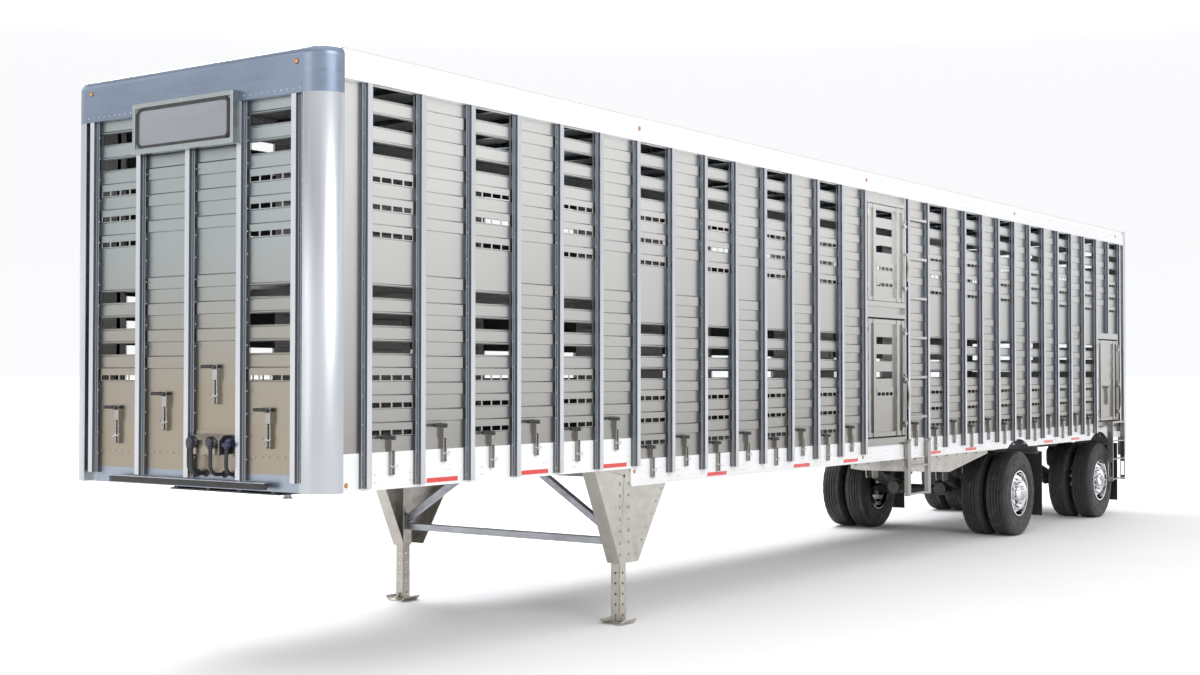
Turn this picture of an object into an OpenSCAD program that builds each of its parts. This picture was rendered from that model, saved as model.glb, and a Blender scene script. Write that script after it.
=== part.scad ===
// Livestock semi-trailer: two deck punched-side body, side doors, landing legs,
// spread tandem axles with dual wheels. Millimetres. Front faces -X, left side -Y.

/* [Body] */
// overall body length, front wall to rear frame
body_l = 16154; // [12000:1:16500]
// overall body width over the posts
body_w = 2591; // [2400:1:2600]
// overall height above the ground
body_h = 4115; // [3600:1:4200]
// top of the front floor above the ground
floor_z = 1450; // [1300:1:1600]
// drop of the floor behind the step
floor_drop = 145; // [100:1:200]
// top of the upper deck above the ground
deck_z = 2700; // [2400:1:2900]
// bottom of the side rail ahead of the step
rail_front_z = 1248; // [1200:1:1300]
// bottom of the side rail behind the step
rail_rear_z = 1103; // [1050:1:1200]
// station of the step in the side rail
rail_step_x = 3470; // [3000:1:4000]
// top of the white lower rail ahead of the step
rail_top_z = 1495; // [1450:1:1600]
// top of the white lower rail behind the step
rail_low_top_z = 1318; // [1300:1:1450]
// how far the lower rows of openings sit down behind the step
row_drop = 172; // [100:1:200]
// bottom of the white top rail
roof_rail_z = 3911; // [3600:1:3950]
// radius of the front corners
corner_r = 184; // [100:1:250]

/* [Wall] */
// post spacing along the wall
bay_pitch = 516; // [400:1:600]
// right edge of the first side post
first_post_x = 449; // [350:1:600]
// post width along the wall
post_w = 77; // [50:1:100]
// post depth out from the sheet
post_d = 50; // [30:1:60]
// wall sheet thickness
sheet_t = 4; // [2:0.5:6]
// height of the pressed ribs
rib_d = 9; // [5:1:15]
// height of a long air slot
slot_h = 76; // [50:1:90]
// height of a small window
window_h = 34; // [20:1:50]
// width of a small window
window_w = 92; // [60:1:100]
// travel of the air shutters
shutter_travel = 84; // [60:1:100]

/* [Running gear] */
// front axle station from the front wall
axle_1_x = 12000; // [11000:1:12500]
// rear axle station from the front wall
axle_2_x = 15100; // [14500:1:15300]
// tyre outside radius
tyre_r = 525; // [480:1:560]
// tyre section width
tyre_w = 276; // [250:1:300]
// centre of the outer tyre from the middle plane
tyre_outer_y = 1130; // [1100:1:1150]
// centre distance of the two tyres of a pair
dual_gap = 330; // [310:1:350]
// rim outside radius
rim_r = 284; // [270:1:300]
// landing leg station from the front wall
leg_x = 3390; // [2800:1:3800]
// landing leg distance from the middle plane
leg_y = 1178; // [1000:1:1200]
// landing leg width
leg_w = 84; // [70:1:120]
// kingpin station from the front wall
kingpin_x = 914; // [800:1:1200]

/* [Hidden] */

$fn = 48;
half_w = body_w / 2;
// outer face of the wall sheet
skin_y = half_w - post_d;
inner_y = skin_y - sheet_t;
rail_t = 8;
web_y = skin_y - rail_t;
bays = 30;
door_bay = 14;
rear_bay = 28;
// parting gap between separate solids of one sub-part
gap = 0.3;
step_bay = 6;
origin_x = body_l / 2 - 4;

// stations of the posts' right edges
function post_x(k) = first_post_x + k * bay_pitch;
function bay_mid(k) = post_x(k) + (bay_pitch - post_w) / 2;
clear_w = bay_pitch - post_w;

// rows of air slots and windows, by the top edge
slot_tops = [3905, 3721, 3537, 2592, 2409, 2226];
window_tops = [3312, 3130, 2948, 2004, 1822, 1640];
// ribs of a closed panel: bottom and top
rib_rows = [[3725, 3821], [3540, 3630], [3357, 3447], [3175, 3265], [2993, 3083],
  [2595, 2687], [2414, 2505], [2231, 2322], [2048, 2139], [1870, 1960], [1688, 1778],
  [1508, 1598]];
pressed_up = 56;

module box(x0, x1, y0, y1, z0, z1) {
  translate([x0, y0, z0])
    cube([x1 - x0, y1 - y0, z1 - z0]);
}

// from stations measured from the front wall to the part's own frame
module place() {
  translate([-origin_x, 0, 0])
    children();
}

module both() {
  children();
  mirror([0, 1, 0])
    children();
}

// solid drawn in the wall's own plane: x along the wall, y up, built outward
module on_left(depth_from, depth) {
  translate([0, -depth_from, 0])
    rotate([90, 0, 0])
      linear_extrude(depth)
        children();
}

module rod_y(x, y0, y1, z, r) {
  translate([x, y0, z])
    rotate([-90, 0, 0])
      cylinder(h = y1 - y0, r = r);
}

module rod_x(x0, x1, y, z, r) {
  translate([x0, y, z])
    rotate([0, 90, 0])
      cylinder(h = x1 - x0, r = r);
}

module rod_z(x, y, z0, z1, r) {
  translate([x, y, z0])
    cylinder(h = z1 - z0, r = r);
}

// ---------------------------------------------------------------- floor

floor_t = 32;
beam_h = 133;
beam_z = floor_z - floor_t - beam_h;
low_floor_z = floor_z - floor_drop;
low_beam_z = beam_z - floor_drop;

module floor_slab(x0, x1, top) {
  box(x0, x1, -web_y, web_y, top - floor_t, top - 12);
  for (i = [0 : 23])
    box(x0, x1, -1200 + i * 102, -1146 + i * 102, top - 12, top);
}

module floor_deck() {
  color([0.72, 0.73, 0.73])
    place() {
      floor_slab(62, rail_step_x, floor_z);
      floor_slab(rail_step_x + gap, body_l - 110, low_floor_z);
      box(rail_step_x - 6, rail_step_x, -web_y, web_y, low_floor_z + gap,
        floor_z - floor_t - gap);
    }
}

module beam_section() {
  polygon([[-25, 0], [25, 0], [25, 8], [-17, 8], [-17, beam_h - 8], [25, beam_h - 8],
    [25, beam_h], [-25, beam_h]]);
}

module cross_members() {
  color([0.60, 0.61, 0.61])
    place()
      for (i = [0 : 43])
        translate([140 + i * 366, web_y, 140 + i * 366 < rail_step_x ? beam_z : low_beam_z])
          rotate([90, 0, 0])
            linear_extrude(2 * web_y)
              beam_section();
}

module coupler_plate() {
  color([0.30, 0.31, 0.32])
    place() {
      difference() {
        box(320, 1560, -560, 560, 1195, 1207);
        rod_z(kingpin_x, 0, 1190, 1210, 36.6);
      }
      for (y = [-520, -180, 140, 480])
        box(320, 1560, y, y + 40, 1207, beam_z);
    }
}

module kingpin() {
  color([0.42, 0.42, 0.43])
    place() {
      rod_z(kingpin_x, 0, 1125, 1195, 25.4);
      rod_z(kingpin_x, 0, 1111, 1125, 35.7);
      rod_z(kingpin_x, 0, 1160, 1207, 36.5);
      rod_z(kingpin_x, 0, 1207, 1222, 90);
    }
}

// ---------------------------------------------------------------- rails

arch_r = 680;

// top edge of the lower rail under the side doors
door_rail_z = 1262;

module rail_shape(doors) {
  difference() {
    polygon([[corner_r, rail_front_z], [rail_step_x, rail_front_z],
      [rail_step_x, rail_rear_z], [body_l - 104, rail_rear_z],
      [body_l - 104, rail_low_top_z], [rail_step_x + 36, rail_low_top_z],
      [rail_step_x + 36, rail_top_z], [corner_r, rail_top_z]]);
    for (x = [axle_1_x - 20, axle_2_x - 20])
      translate([x, tyre_r])
        circle(r = arch_r, $fn = 96);
    if (doors)
      for (k = [door_bay, rear_bay])
        translate([post_x(k) - post_w / 2, door_rail_z])
          square([2 * bay_pitch, 300]);
  }
}

module rail_bead() {
  box(corner_r, rail_step_x, -skin_y - 6, -skin_y, rail_front_z, rail_front_z + 16);
  box(rail_step_x, axle_1_x - 420, -skin_y - 6, -skin_y, rail_rear_z, rail_rear_z + 16);
  box(axle_1_x + 380, axle_2_x - 420, -skin_y - 6, -skin_y, rail_rear_z, rail_rear_z + 16);
}

module lower_rails() {
  color([0.93, 0.94, 0.95])
    place() {
      on_left(web_y, rail_t)
        rail_shape(true);
      rail_bead();
      mirror([0, 1, 0]) {
        on_left(web_y, rail_t)
          rail_shape(false);
        rail_bead();
      }
    }
}

module top_rails() {
  color([0.94, 0.95, 0.95])
    place()
      both() {
        translate([corner_r, 0, 0])
          rotate([90, 0, 90])
            linear_extrude(body_l - 104 - corner_r)
              polygon([[-inner_y + 4, roof_rail_z], [-half_w, roof_rail_z],
                [-half_w, body_h - 62], [-half_w + 16, body_h - 40],
                [-half_w + 16, body_h - 10], [-inner_y + 4, body_h - 10],
                [-inner_y + 4, body_h - 34], [-half_w + 30, body_h - 34],
                [-half_w + 30, body_h - 60], [-half_w + 10, body_h - 70],
                [-half_w + 10, roof_rail_z + 12], [-inner_y + 4, roof_rail_z + 12]]);
      }
}

module upper_deck() {
  color([0.70, 0.71, 0.71])
    place() {
      box(66, body_l - 170, -1228, 1228, deck_z - 30, deck_z);
      for (k = [0 : 2 : bays])
        box(post_x(k) - 68, post_x(k) - 8, -inner_y, inner_y, deck_z - 80, deck_z);
    }
}

module roof_sheet() {
  color([0.90, 0.91, 0.91])
    place()
      translate([corner_r, 0, 0])
        rotate([90, 0, 90])
          linear_extrude(body_l - 104 - corner_r)
            polygon([[-1278, body_h - 10], [-1278, body_h - 6], [-900, body_h - 3],
              [0, body_h], [900, body_h - 3], [1278, body_h - 6], [1278, body_h - 10]]);
}

module roof_bows() {
  color([0.66, 0.67, 0.67])
    place()
      for (k = [0 : bays])
        box(post_x(k) - 62, post_x(k) - 14, -inner_y + 4, inner_y - 4,
          body_h - 48, body_h - 10);
}

// ---------------------------------------------------------------- front wall

cap_z = 3812;
cap_edge_r = 60;

// section of the cap: x inward from the face, y up
module cap_section() {
  difference() {
    union() {
      translate([0, cap_z])
        square([42, body_h - cap_z - cap_edge_r]);
      translate([cap_edge_r, body_h - cap_edge_r])
        circle(r = cap_edge_r);
      translate([cap_edge_r, body_h - 30])
        square([corner_r - cap_edge_r, 30]);
    }
    translate([cap_edge_r + 34, body_h - 2 * cap_edge_r - 30])
      square([corner_r, 2 * cap_edge_r]);
    translate([42, cap_z - 1])
      square([corner_r, body_h - cap_z - cap_edge_r - 15]);
  }
}

module front_cap() {
  color([0.47, 0.53, 0.60])
    place() {
      translate([0, half_w - corner_r, 0])
        rotate([90, 0, 0])
          linear_extrude(2 * (half_w - corner_r))
            cap_section();
      both()
        translate([corner_r, -half_w + corner_r, 0])
          rotate([0, 0, 180])
            rotate_extrude(angle = 90)
              translate([corner_r, 0])
                mirror([1, 0])
                  cap_section();
    }
}

module corner_shape() {
  difference() {
    intersection() {
      circle(r = corner_r, $fn = 96);
      translate([-corner_r, -corner_r])
        square(corner_r);
    }
    circle(r = corner_r - 8, $fn = 96);
  }
  translate([-corner_r, 0])
    square([post_d, 6]);
  translate([-6, -corner_r])
    square([6, post_d]);
}

// half width of the front sill, clear of the corner flanges
sill_y = half_w - corner_r - 6.5;

module front_frame() {
  color([0.50, 0.56, 0.63])
    place() {
      both()
        translate([corner_r, -half_w + corner_r, rail_front_z])
          linear_extrude(cap_z - rail_front_z)
            corner_shape();
      // sill across the front with stepped upper edge
      translate([post_d, 0, 0])
        rotate([90, 0, 90])
          linear_extrude(rail_t)
            polygon([[-sill_y, rail_front_z], [sill_y, rail_front_z], [sill_y, 1682],
              [bay_pitch, 1682], [bay_pitch, 1762], [0, 1762], [0, 1947],
              [-bay_pitch, 1947], [-bay_pitch, 1682], [-sill_y, 1682]]);
    }
}

module sign_box() {
  color([0.72, 0.74, 0.76])
    place() {
      difference() {
        box(-60, 0, -516, 516, 3530, 3880);
        box(-70, -46, -486, 486, 3568, 3846);
      }
    }
}

module nose_box() {
  color([0.12, 0.12, 0.13])
    place() {
      box(post_d - 12, post_d, -476, -40, 1463, 1636);
      box(-46, post_d - 12, -390, -84, 1478, 1606);
    }
}

module gladhands() {
  color([0.07, 0.07, 0.08])
    place() {
      // two electrical sockets on the box
      for (y = [-140, -330])
        rod_x(-100, -46, y, 1560, 34);
      // two air couplings beside the box
      for (y = [-435, -61]) {
        box(-20, post_d - 12, y - 17, y + 17, 1524, 1580);
        rod_z(-30, y, 1520, 1548, y < -400 ? 32 : 20);
      }
    }
}

// hose of quarter rings and straight runs, drawn in a plane of constant y
hose_r = 13;

module hose(y, top_z, low_z, out_x) {
  bend = 60;
  translate([0, y, 0]) {
    translate([-out_x, 0, low_z + bend])
      cylinder(h = top_z - low_z - bend, r = hose_r);
    translate([-out_x + bend, 0, low_z + bend])
      rotate([90, 0, 0])
        rotate([0, 0, 180])
          rotate_extrude(angle = 90)
            translate([bend, 0])
              circle(r = hose_r);
    translate([-out_x + bend, 0, low_z])
      rotate([0, 90, 0])
        cylinder(h = post_d + out_x - bend, r = hose_r);
  }
}

module air_hoses() {
  color([0.05, 0.05, 0.06])
    place() {
      hose(-61, 1520, 1346, 30);
      hose(-435, 1520, 1346, 30);
      hose(-140, 1529, 1346, 74);
      hose(-330, 1529, 1346, 74);
    }
}

module bumper_bar() {
  color([0.10, 0.10, 0.11])
    place() {
      box(-34, -4, -800, 800, 1262, 1306);
      for (y = [-700, -240, 240, 700])
        box(-4, post_d, y - 30, y + 30, 1268, 1300);
    }
}

// ---------------------------------------------------------------- posts

// section in plan: x along the wall, y outward from the sheet
module post_section() {
  difference() {
    polygon([[-post_w, 0], [0, 0], [0, 44], [-8, post_d], [-52, post_d], [-52, 24],
      [-post_w, 24]]);
    polygon([[-44, -1], [-10, -1], [-10, 38], [-44, 38]]);
  }
}

module side_post(k, z0) {
  translate([post_x(k), -skin_y, z0])
    mirror([0, 1, 0])
      linear_extrude(roof_rail_z - z0)
        post_section();
}

function post_low_z(k) = k <= step_bay ? 1266 : 1190;

module wall_posts() {
  color([0.55, 0.60, 0.66])
    place() {
      for (k = [0 : bays])
        if (k != door_bay + 1 && k != rear_bay + 1)
          side_post(k, (k == 16 || k == 17) ? 1312 : post_low_z(k));
      // short post above the rear side door
      side_post(rear_bay + 1, 2600);
      mirror([0, 1, 0])
        for (k = [0 : bays])
          side_post(k, post_low_z(k));
      // front wall
      for (i = [-2 : 2])
        translate([post_d, i * bay_pitch + post_w / 2, 1312])
          rotate([0, 0, 90])
            linear_extrude(cap_z - 1312)
              post_section();
    }
}

// ---------------------------------------------------------------- wall panels

// rows of one bay: the lower rows sit down by d
function drop_of(z, d) = z < 2600 ? z - d : z;

module slot_holes(z_min, d) {
  for (z = slot_tops)
    if (drop_of(z, d) - slot_h > z_min)
      translate([-clear_w / 2 + 8, drop_of(z, d) - slot_h])
        square([clear_w - 16, slot_h]);
}

module window_holes(z_min, d) {
  for (z = window_tops)
    if (drop_of(z, d) - window_h > z_min)
      for (i = [-1.5 : 1.5])
        translate([i * 107 - window_w / 2, drop_of(z, d) - window_h])
          square([window_w, window_h]);
}

// one wide opening behind each row of windows
module row_holes(z_min, d) {
  for (z = window_tops)
    if (drop_of(z, d) - window_h > z_min)
      translate([-clear_w / 2 + 8, drop_of(z, d) - window_h])
        square([clear_w - 16, window_h]);
}

module vent_sheet(z_min, d) {
  difference() {
    translate([-bay_pitch / 2, z_min])
      square([bay_pitch, roof_rail_z - z_min]);
    slot_holes(z_min, d);
    row_holes(z_min, d);
    // slot for the stem of the shutter handle
    if (z_min < 2600)
      translate([-8, z_min + 1])
        square([16, 101]);
  }
}

module vent_bands(z_min, d) {
  difference() {
    for (z = window_tops)
      if (drop_of(z, d) > z_min)
        translate([-clear_w / 2 + 1, drop_of(z, d) - window_h - 6])
          square([clear_w - 2, pressed_up + window_h + 6]);
    window_holes(z_min, d);
  }
  for (z = slot_tops)
    if (drop_of(z, d) > z_min && z < 3890)
      translate([-clear_w / 2 + 1, drop_of(z, d) + 2])
        square([clear_w - 2, 10]);
}

module vent_panel(k, z_min, d) {
  translate([bay_mid(k), 0, 0]) {
    on_left(inner_y, sheet_t)
      vent_sheet(z_min, d);
    on_left(skin_y, rib_d)
      vent_bands(z_min, d);
  }
}

module ribbed_bands(z_min) {
  for (r = rib_rows)
    if (r[0] > z_min + 60)
      translate([-clear_w / 2 + 1, r[0]])
        square([clear_w - 2, r[1] - r[0]]);
}

module ribbed_panel(k, z_min) {
  translate([bay_mid(k), 0, 0]) {
    on_left(inner_y, sheet_t)
      difference() {
        translate([-bay_pitch / 2, z_min])
          square([bay_pitch, roof_rail_z - z_min]);
        if (z_min < 2600)
          translate([-8, z_min + 60])
            square([16, 108]);
      }
    on_left(skin_y, rib_d)
      ribbed_bands(z_min + 50);
  }
}

function left_is_bay(k) = k != door_bay && k != door_bay + 1;
function left_has_grip(k) = left_is_bay(k) && k < rear_bay;
function left_is_vent(k) = k < door_bay ? k % 2 == 0 : k % 2 == 1;
function wall_low_z(k) = k < step_bay ? rail_top_z : rail_low_top_z;
function left_low_z(k) = k >= rear_bay ? 2600 : wall_low_z(k);
function bay_drop(k) = k < step_bay ? 0 : row_drop;

// front wall sheets: x across, y up, built outward from the given station
module on_front(x, y, depth) {
  translate([x, y, 0])
    rotate([90, 0, -90])
      linear_extrude(depth)
        children();
}

module front_clip(z_min, z_max) {
  intersection() {
    children();
    translate([-bay_pitch / 2, z_min])
      square([bay_pitch, z_max - z_min]);
  }
}

module vent_panels() {
  color([0.76, 0.75, 0.72])
    place() {
      for (k = [0 : bays - 1])
        if (left_is_bay(k) && left_is_vent(k))
          vent_panel(k, left_low_z(k), bay_drop(k));
      mirror([0, 1, 0])
        for (k = [0 : 2 : bays - 1])
          vent_panel(k, wall_low_z(k), bay_drop(k));
      // two outer bays of the front wall
      for (y = [-774, 774]) {
        on_front(post_d + sheet_t, y, sheet_t)
          difference() {
            translate([-bay_pitch / 2, 1682])
              square([bay_pitch, cap_z - 1682]);
            front_clip(1790, cap_z - 40) {
              slot_holes(1700, 0);
              row_holes(1700, 0);
            }
            translate([-8, 1684])
              square([16, 97]);
          }
        on_front(post_d, y, rib_d)
          front_clip(1780, 3700)
            vent_bands(1700, 0);
      }
    }
}

module ribbed_panels() {
  color([0.78, 0.78, 0.77])
    place() {
      for (k = [0 : bays - 1])
        if (left_is_bay(k) && !left_is_vent(k))
          ribbed_panel(k, left_low_z(k));
      mirror([0, 1, 0])
        for (k = [1 : 2 : bays - 1])
          ribbed_panel(k, wall_low_z(k));
      // plain sheets ahead of the first post and behind the last
      both() {
        on_left(inner_y, sheet_t)
          translate([corner_r, rail_top_z])
            square([first_post_x - post_w / 2 - corner_r, roof_rail_z - rail_top_z]);
        on_left(inner_y, sheet_t)
          translate([post_x(bays) - post_w / 2, rail_low_top_z])
            square([body_l - 104 - post_x(bays) + post_w / 2,
              roof_rail_z - rail_low_top_z]);
      }
      // two inner bays of the front wall
      for (s = [[-258, 1947], [258, 1762]]) {
        on_front(post_d + sheet_t, s[0], sheet_t)
          difference() {
            translate([-bay_pitch / 2, s[1]])
              square([bay_pitch, cap_z - s[1]]);
            translate([-8, s[1] + 10])
              square([16, 112]);
          }
        on_front(post_d, s[0], rib_d)
          front_clip(s[1] + 122, 3500)
            ribbed_bands(s[1] + 40);
      }
      // close the outer ends of the front wall
      for (y = [-1172, 1032])
        box(post_d, post_d + sheet_t, y, y + 140, 1682, cap_z);
    }
}

// ---------------------------------------------------------------- shutter handles

// height of the stem above the top of the lower rail
vent_stem = 94;
ribbed_stem = 161;

// perforated guide for one handle; s is the stem height
module guide(x, s) {
  difference() {
    box(x - 19, x + 20, -skin_y - 25, -skin_y, s - 249, s - 6);
    box(x - 16, x + 17, -skin_y - 22, -skin_y + 1, s - 246, s - 5);
    // open front, where the grip slides
    box(x - 14, x + 6, -skin_y - 26, -skin_y - 21, s - 246, s - 5);
  }
  // wire clip
  box(x + 20, x + 70, -skin_y - 12, -skin_y - 8, s - 150, s - 146);
}

function left_stem(k) = left_low_z(k) + (left_is_vent(k) ? vent_stem : ribbed_stem);
function right_stem(k) = wall_low_z(k) + (k % 2 == 0 ? vent_stem : ribbed_stem);
front_bays = [[-774, 1682 + 92], [-258, 1947 + 111], [258, 1762 + 111], [774, 1682 + 92]];

module vent_guides() {
  color([0.62, 0.62, 0.61])
    place() {
      for (k = [0 : bays - 1])
        if (left_has_grip(k))
          guide(bay_mid(k), left_stem(k));
      mirror([0, 1, 0])
        for (k = [0 : bays - 1])
          guide(bay_mid(k), right_stem(k));
      for (b = front_bays)
        turned_guide(b[0], b[1]);
    }
}

// same guide against the front wall
module turned_guide(y, s) {
  difference() {
    box(post_d - 25, post_d, y - 20, y + 19, s - 249, s - 6);
    box(post_d - 22, post_d + 1, y - 17, y + 16, s - 246, s - 5);
    // open front, where the grip slides
    box(post_d - 26, post_d - 21, y - 6, y + 14, s - 246, s - 5);
  }
}

// handle, neck and stem of one bay; s is the stem height
module grip(x, s) {
  box(x - 5, x + 5, -skin_y - 42, -1236 - gap, s - 5, s + 5);
  box(x - 14, x + 5, -skin_y - 44, -skin_y - 27, s - 14, s + 14);
  rod_x(x - 128, x - 14, -skin_y - 35, s + 2, 9);
}

module vent_plate(k, z_min, d) {
  translate([bay_mid(k), 0, 0])
    on_left(1233, 3)
      difference() {
        translate([-clear_w / 2 + 6, z_min + 87])
          square([clear_w - 12, 3909 - z_min - 87]);
        slot_holes(z_min, d);
        row_holes(z_min, d);
      }
}

module shutters_left() {
  color([0.16, 0.16, 0.17])
    place()
      for (k = [0 : bays - 1])
        if (left_is_bay(k)) {
          if (left_has_grip(k))
            grip(bay_mid(k), left_stem(k));
          if (left_is_vent(k))
            vent_plate(k, left_low_z(k), bay_drop(k));
        }
}

module shutters_right() {
  color([0.16, 0.16, 0.17])
    place()
      mirror([0, 1, 0])
        for (k = [0 : bays - 1]) {
          grip(bay_mid(k), right_stem(k));
          if (k % 2 == 0)
            vent_plate(k, wall_low_z(k), bay_drop(k));
        }
}

module shutters_front() {
  color([0.16, 0.16, 0.17])
    place()
      for (b = front_bays) {
        box(post_d - 42, post_d + 8, b[0] - 5, b[0] + 5, b[1] - 5, b[1] + 5);
        box(post_d - 44, post_d - 27, b[0] - 5, b[0] + 14, b[1] - 14, b[1] + 14);
        translate([post_d - 35, 0, b[1] + 2])
          rotate([-90, 0, 0])
            translate([0, 0, b[0] + 14])
              cylinder(h = 114, r = 9);
        if (abs(b[0]) > bay_pitch)
          on_front(post_d + 11.5, b[0], 3)
            difference() {
              translate([-clear_w / 2 + 6, b[1] - 10])
                square([clear_w - 12, 3770 - b[1] + 10]);
              front_clip(1790, cap_z - 40) {
                slot_holes(1700, 0);
                row_holes(1700, 0);
              }
            }
      }
}

// ---------------------------------------------------------------- side doors

door_l = post_x(door_bay);
door_w = 2 * bay_pitch - post_w;
jamb_y = 1281;
door_in_y = 1247;
door_out_y = 1279;
hinge_y = 1291;
lower_door_z = [1362, 2590];
upper_door_z = [2784, 3792];
rear_door_z = [1362, 2500];

function door_x0(k) = post_x(k) + 37;
function door_x1(k) = post_x(k) + door_w - 37;
function hinge_x(k) = post_x(k) + 27;

// plain jamb sheet and jambs of one door bay
module jambs(k, z0, z1) {
  x0 = post_x(k);
  x1 = x0 + door_w;
  box(x0 - post_w / 2, x0, -skin_y, -inner_y, z0, z1);
  box(x1, x1 + post_w / 2, -skin_y, -inner_y, z0, z1);
  box(x0, x0 + 17, -jamb_y, -inner_y, z0, z1);
  box(x1 - 33, x1, -jamb_y, -inner_y, z0, z1);
}

module cross_beam(k, z0, z1) {
  box(post_x(k) + 17 + gap, post_x(k) + door_w - 33 - gap, -jamb_y, -inner_y, z0, z1);
}

module fill_sheet(k, z0, z1) {
  box(post_x(k) + 17 + gap, post_x(k) + door_w - 33 - gap, -skin_y, -inner_y,
    z0 + gap, z1 - gap);
}

// frame half of a hinge
module hinge_fixed(k, z) {
  rod_z(hinge_x(k), -hinge_y, z + 41, z + 80, 8);
  box(post_x(k) + 2, hinge_x(k), -hinge_y + 4, -jamb_y, z + 41, z + 80);
}

// door half of a hinge
module hinge_moving(k, z) {
  rod_z(hinge_x(k), -hinge_y, z, z + 40, 8);
  box(hinge_x(k), door_x0(k) + 50, -hinge_y + 4, -door_out_y, z, z + 40);
}

upper_hinges = [2880, 3640];
lower_hinges = [1440, 1760, 2160, 2460];
rear_hinges = [1440, 1880, 2380];

module door_frames() {
  color([0.70, 0.72, 0.74])
    place() {
      jambs(door_bay, door_rail_z, roof_rail_z);
      cross_beam(door_bay, 1290, 1346);
      cross_beam(door_bay, 2609, 2652);
      cross_beam(door_bay, 2725, 2778);
      cross_beam(door_bay, 3798, 3838);
      fill_sheet(door_bay, 2652, 2725);
      fill_sheet(door_bay, 3838, roof_rail_z);
      fill_sheet(door_bay, door_rail_z, 1290);
      for (z = upper_hinges)
        hinge_fixed(door_bay, z);
      for (z = lower_hinges)
        hinge_fixed(door_bay, z);
      jambs(rear_bay, door_rail_z, 2600);
      cross_beam(rear_bay, 1290, 1346);
      cross_beam(rear_bay, 2520, 2600);
      fill_sheet(rear_bay, door_rail_z, 1290);
      for (z = rear_hinges)
        hinge_fixed(rear_bay, z);
    }
}

// openings of a door sheet: x from the door's middle
module door_holes(slots, windows) {
  for (z = slots)
    translate([-190, z])
      square([380, slot_h]);
  for (z = windows)
    for (i = [-1.5 : 1.5])
      translate([i * 96 - 38, z])
        square([76, window_h]);
}

module door_leaf(k, zr, slots, windows, ribs) {
  x0 = door_x0(k);
  x1 = door_x1(k);
  mid = (x0 + x1) / 2;
  translate([mid, 0, 0]) {
    on_left(door_in_y, 4)
      difference() {
        translate([x0 - mid, zr[0]])
          square([x1 - x0, zr[1] - zr[0]]);
        door_holes(slots, windows);
      }
    on_left(door_in_y + 4, rib_d)
      difference() {
        union() {
          for (z = ribs)
            translate([-200, z])
              square([400, 90]);
          for (z = windows)
            translate([-200, z - 8])
              square([400, 92]);
        }
        door_holes(slots, windows);
      }
  }
  // stiles and rails
  for (dx = [0, 130])
    box(x0 + dx, x0 + dx + 60, -door_out_y, -door_in_y - 4, zr[0], zr[1]);
  for (dx = [60, 190])
    box(x1 - dx, x1 - dx + 60, -door_out_y, -door_in_y - 4, zr[0], zr[1]);
  box(x0 + 60, x1 - 60, -door_out_y + 8, -door_in_y - 4, zr[0], zr[0] + 46);
  box(x0 + 60, x1 - 60, -door_out_y + 8, -door_in_y - 4, zr[1] - 46, zr[1]);
}

// two guides that carry a latch rod
module rod_guides(x, zs) {
  for (z = zs)
    difference() {
      box(x - 14, x + 14, -1308, -door_out_y, z, z + 24);
      rod_z(x, -1296, z - 1, z + 25, 8.05);
    }
}

module door_upper() {
  color([0.80, 0.80, 0.79])
    place() {
      door_leaf(door_bay, upper_door_z, [3660, 3477, 3294], [3110, 2940], []);
      for (z = upper_hinges)
        hinge_moving(door_bay, z);
      rod_guides(door_x1(door_bay) - 22, [2900, 3640]);
    }
}

module door_lower() {
  color([0.80, 0.80, 0.79])
    place() {
      door_leaf(door_bay, lower_door_z, [2330, 2150, 1968], [1790], []);
      for (z = lower_hinges)
        hinge_moving(door_bay, z);
      rod_guides(door_x1(door_bay) - 22, [1450, 1990, 2480]);
    }
}

module door_rear_side() {
  color([0.80, 0.80, 0.79])
    place() {
      door_leaf(rear_bay, rear_door_z, [], [], [1870, 2048, 2231, 2362]);
      // handle and guide on the door itself
      translate([post_x(rear_bay) + door_w / 2, skin_y - door_in_y - 4, 0]) {
        guide(0, 1835);
        box(-5, 5, -skin_y - 42, -skin_y + 1, 1830, 1840);
        box(-14, 5, -skin_y - 44, -skin_y - 27, 1821, 1849);
        rod_x(-128, -14, -skin_y - 35, 1837, 9);
      }
      for (z = rear_hinges)
        hinge_moving(rear_bay, z);
      rod_guides(door_x1(rear_bay) - 22, [1450, 1900, 2400]);
    }
}

// latch rod with cams toward the jamb and a bent handle
module latch_rod(x, z0, z1, cams, grip_z) {
  rod_z(x, -1296, z0, z1, 8);
  for (z = cams)
    box(x, x + 44, -1304, -1288, z, z + 26);
  box(x - 12, x + 20, -1318, -1286, grip_z - 14, grip_z + 14);
  // handle, bent from flat bar
  on_left(1310, 12)
    polygon([[x - 4, grip_z + 14], [x + 20, grip_z + 14], [x + 62, grip_z - 150],
      [x + 36, grip_z - 290], [x + 16, grip_z - 290], [x + 40, grip_z - 150]]);
}

module latch_upper() {
  color([0.66, 0.66, 0.66])
    place()
      latch_rod(door_x1(door_bay) - 22, 2890, 3676, [2928, 3590], 3300);
}

module latch_lower() {
  color([0.66, 0.66, 0.66])
    place()
      latch_rod(door_x1(door_bay) - 22, 1440, 2520, [1478, 1950, 2440], 1930);
}

module latch_rear_side() {
  color([0.66, 0.66, 0.66])
    place()
      latch_rod(door_x1(rear_bay) - 22, 1440, 2440, [1478, 1860, 2360], 1840);
}

// ---------------------------------------------------------------- ladders

ladder_bay = 16;

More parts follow.
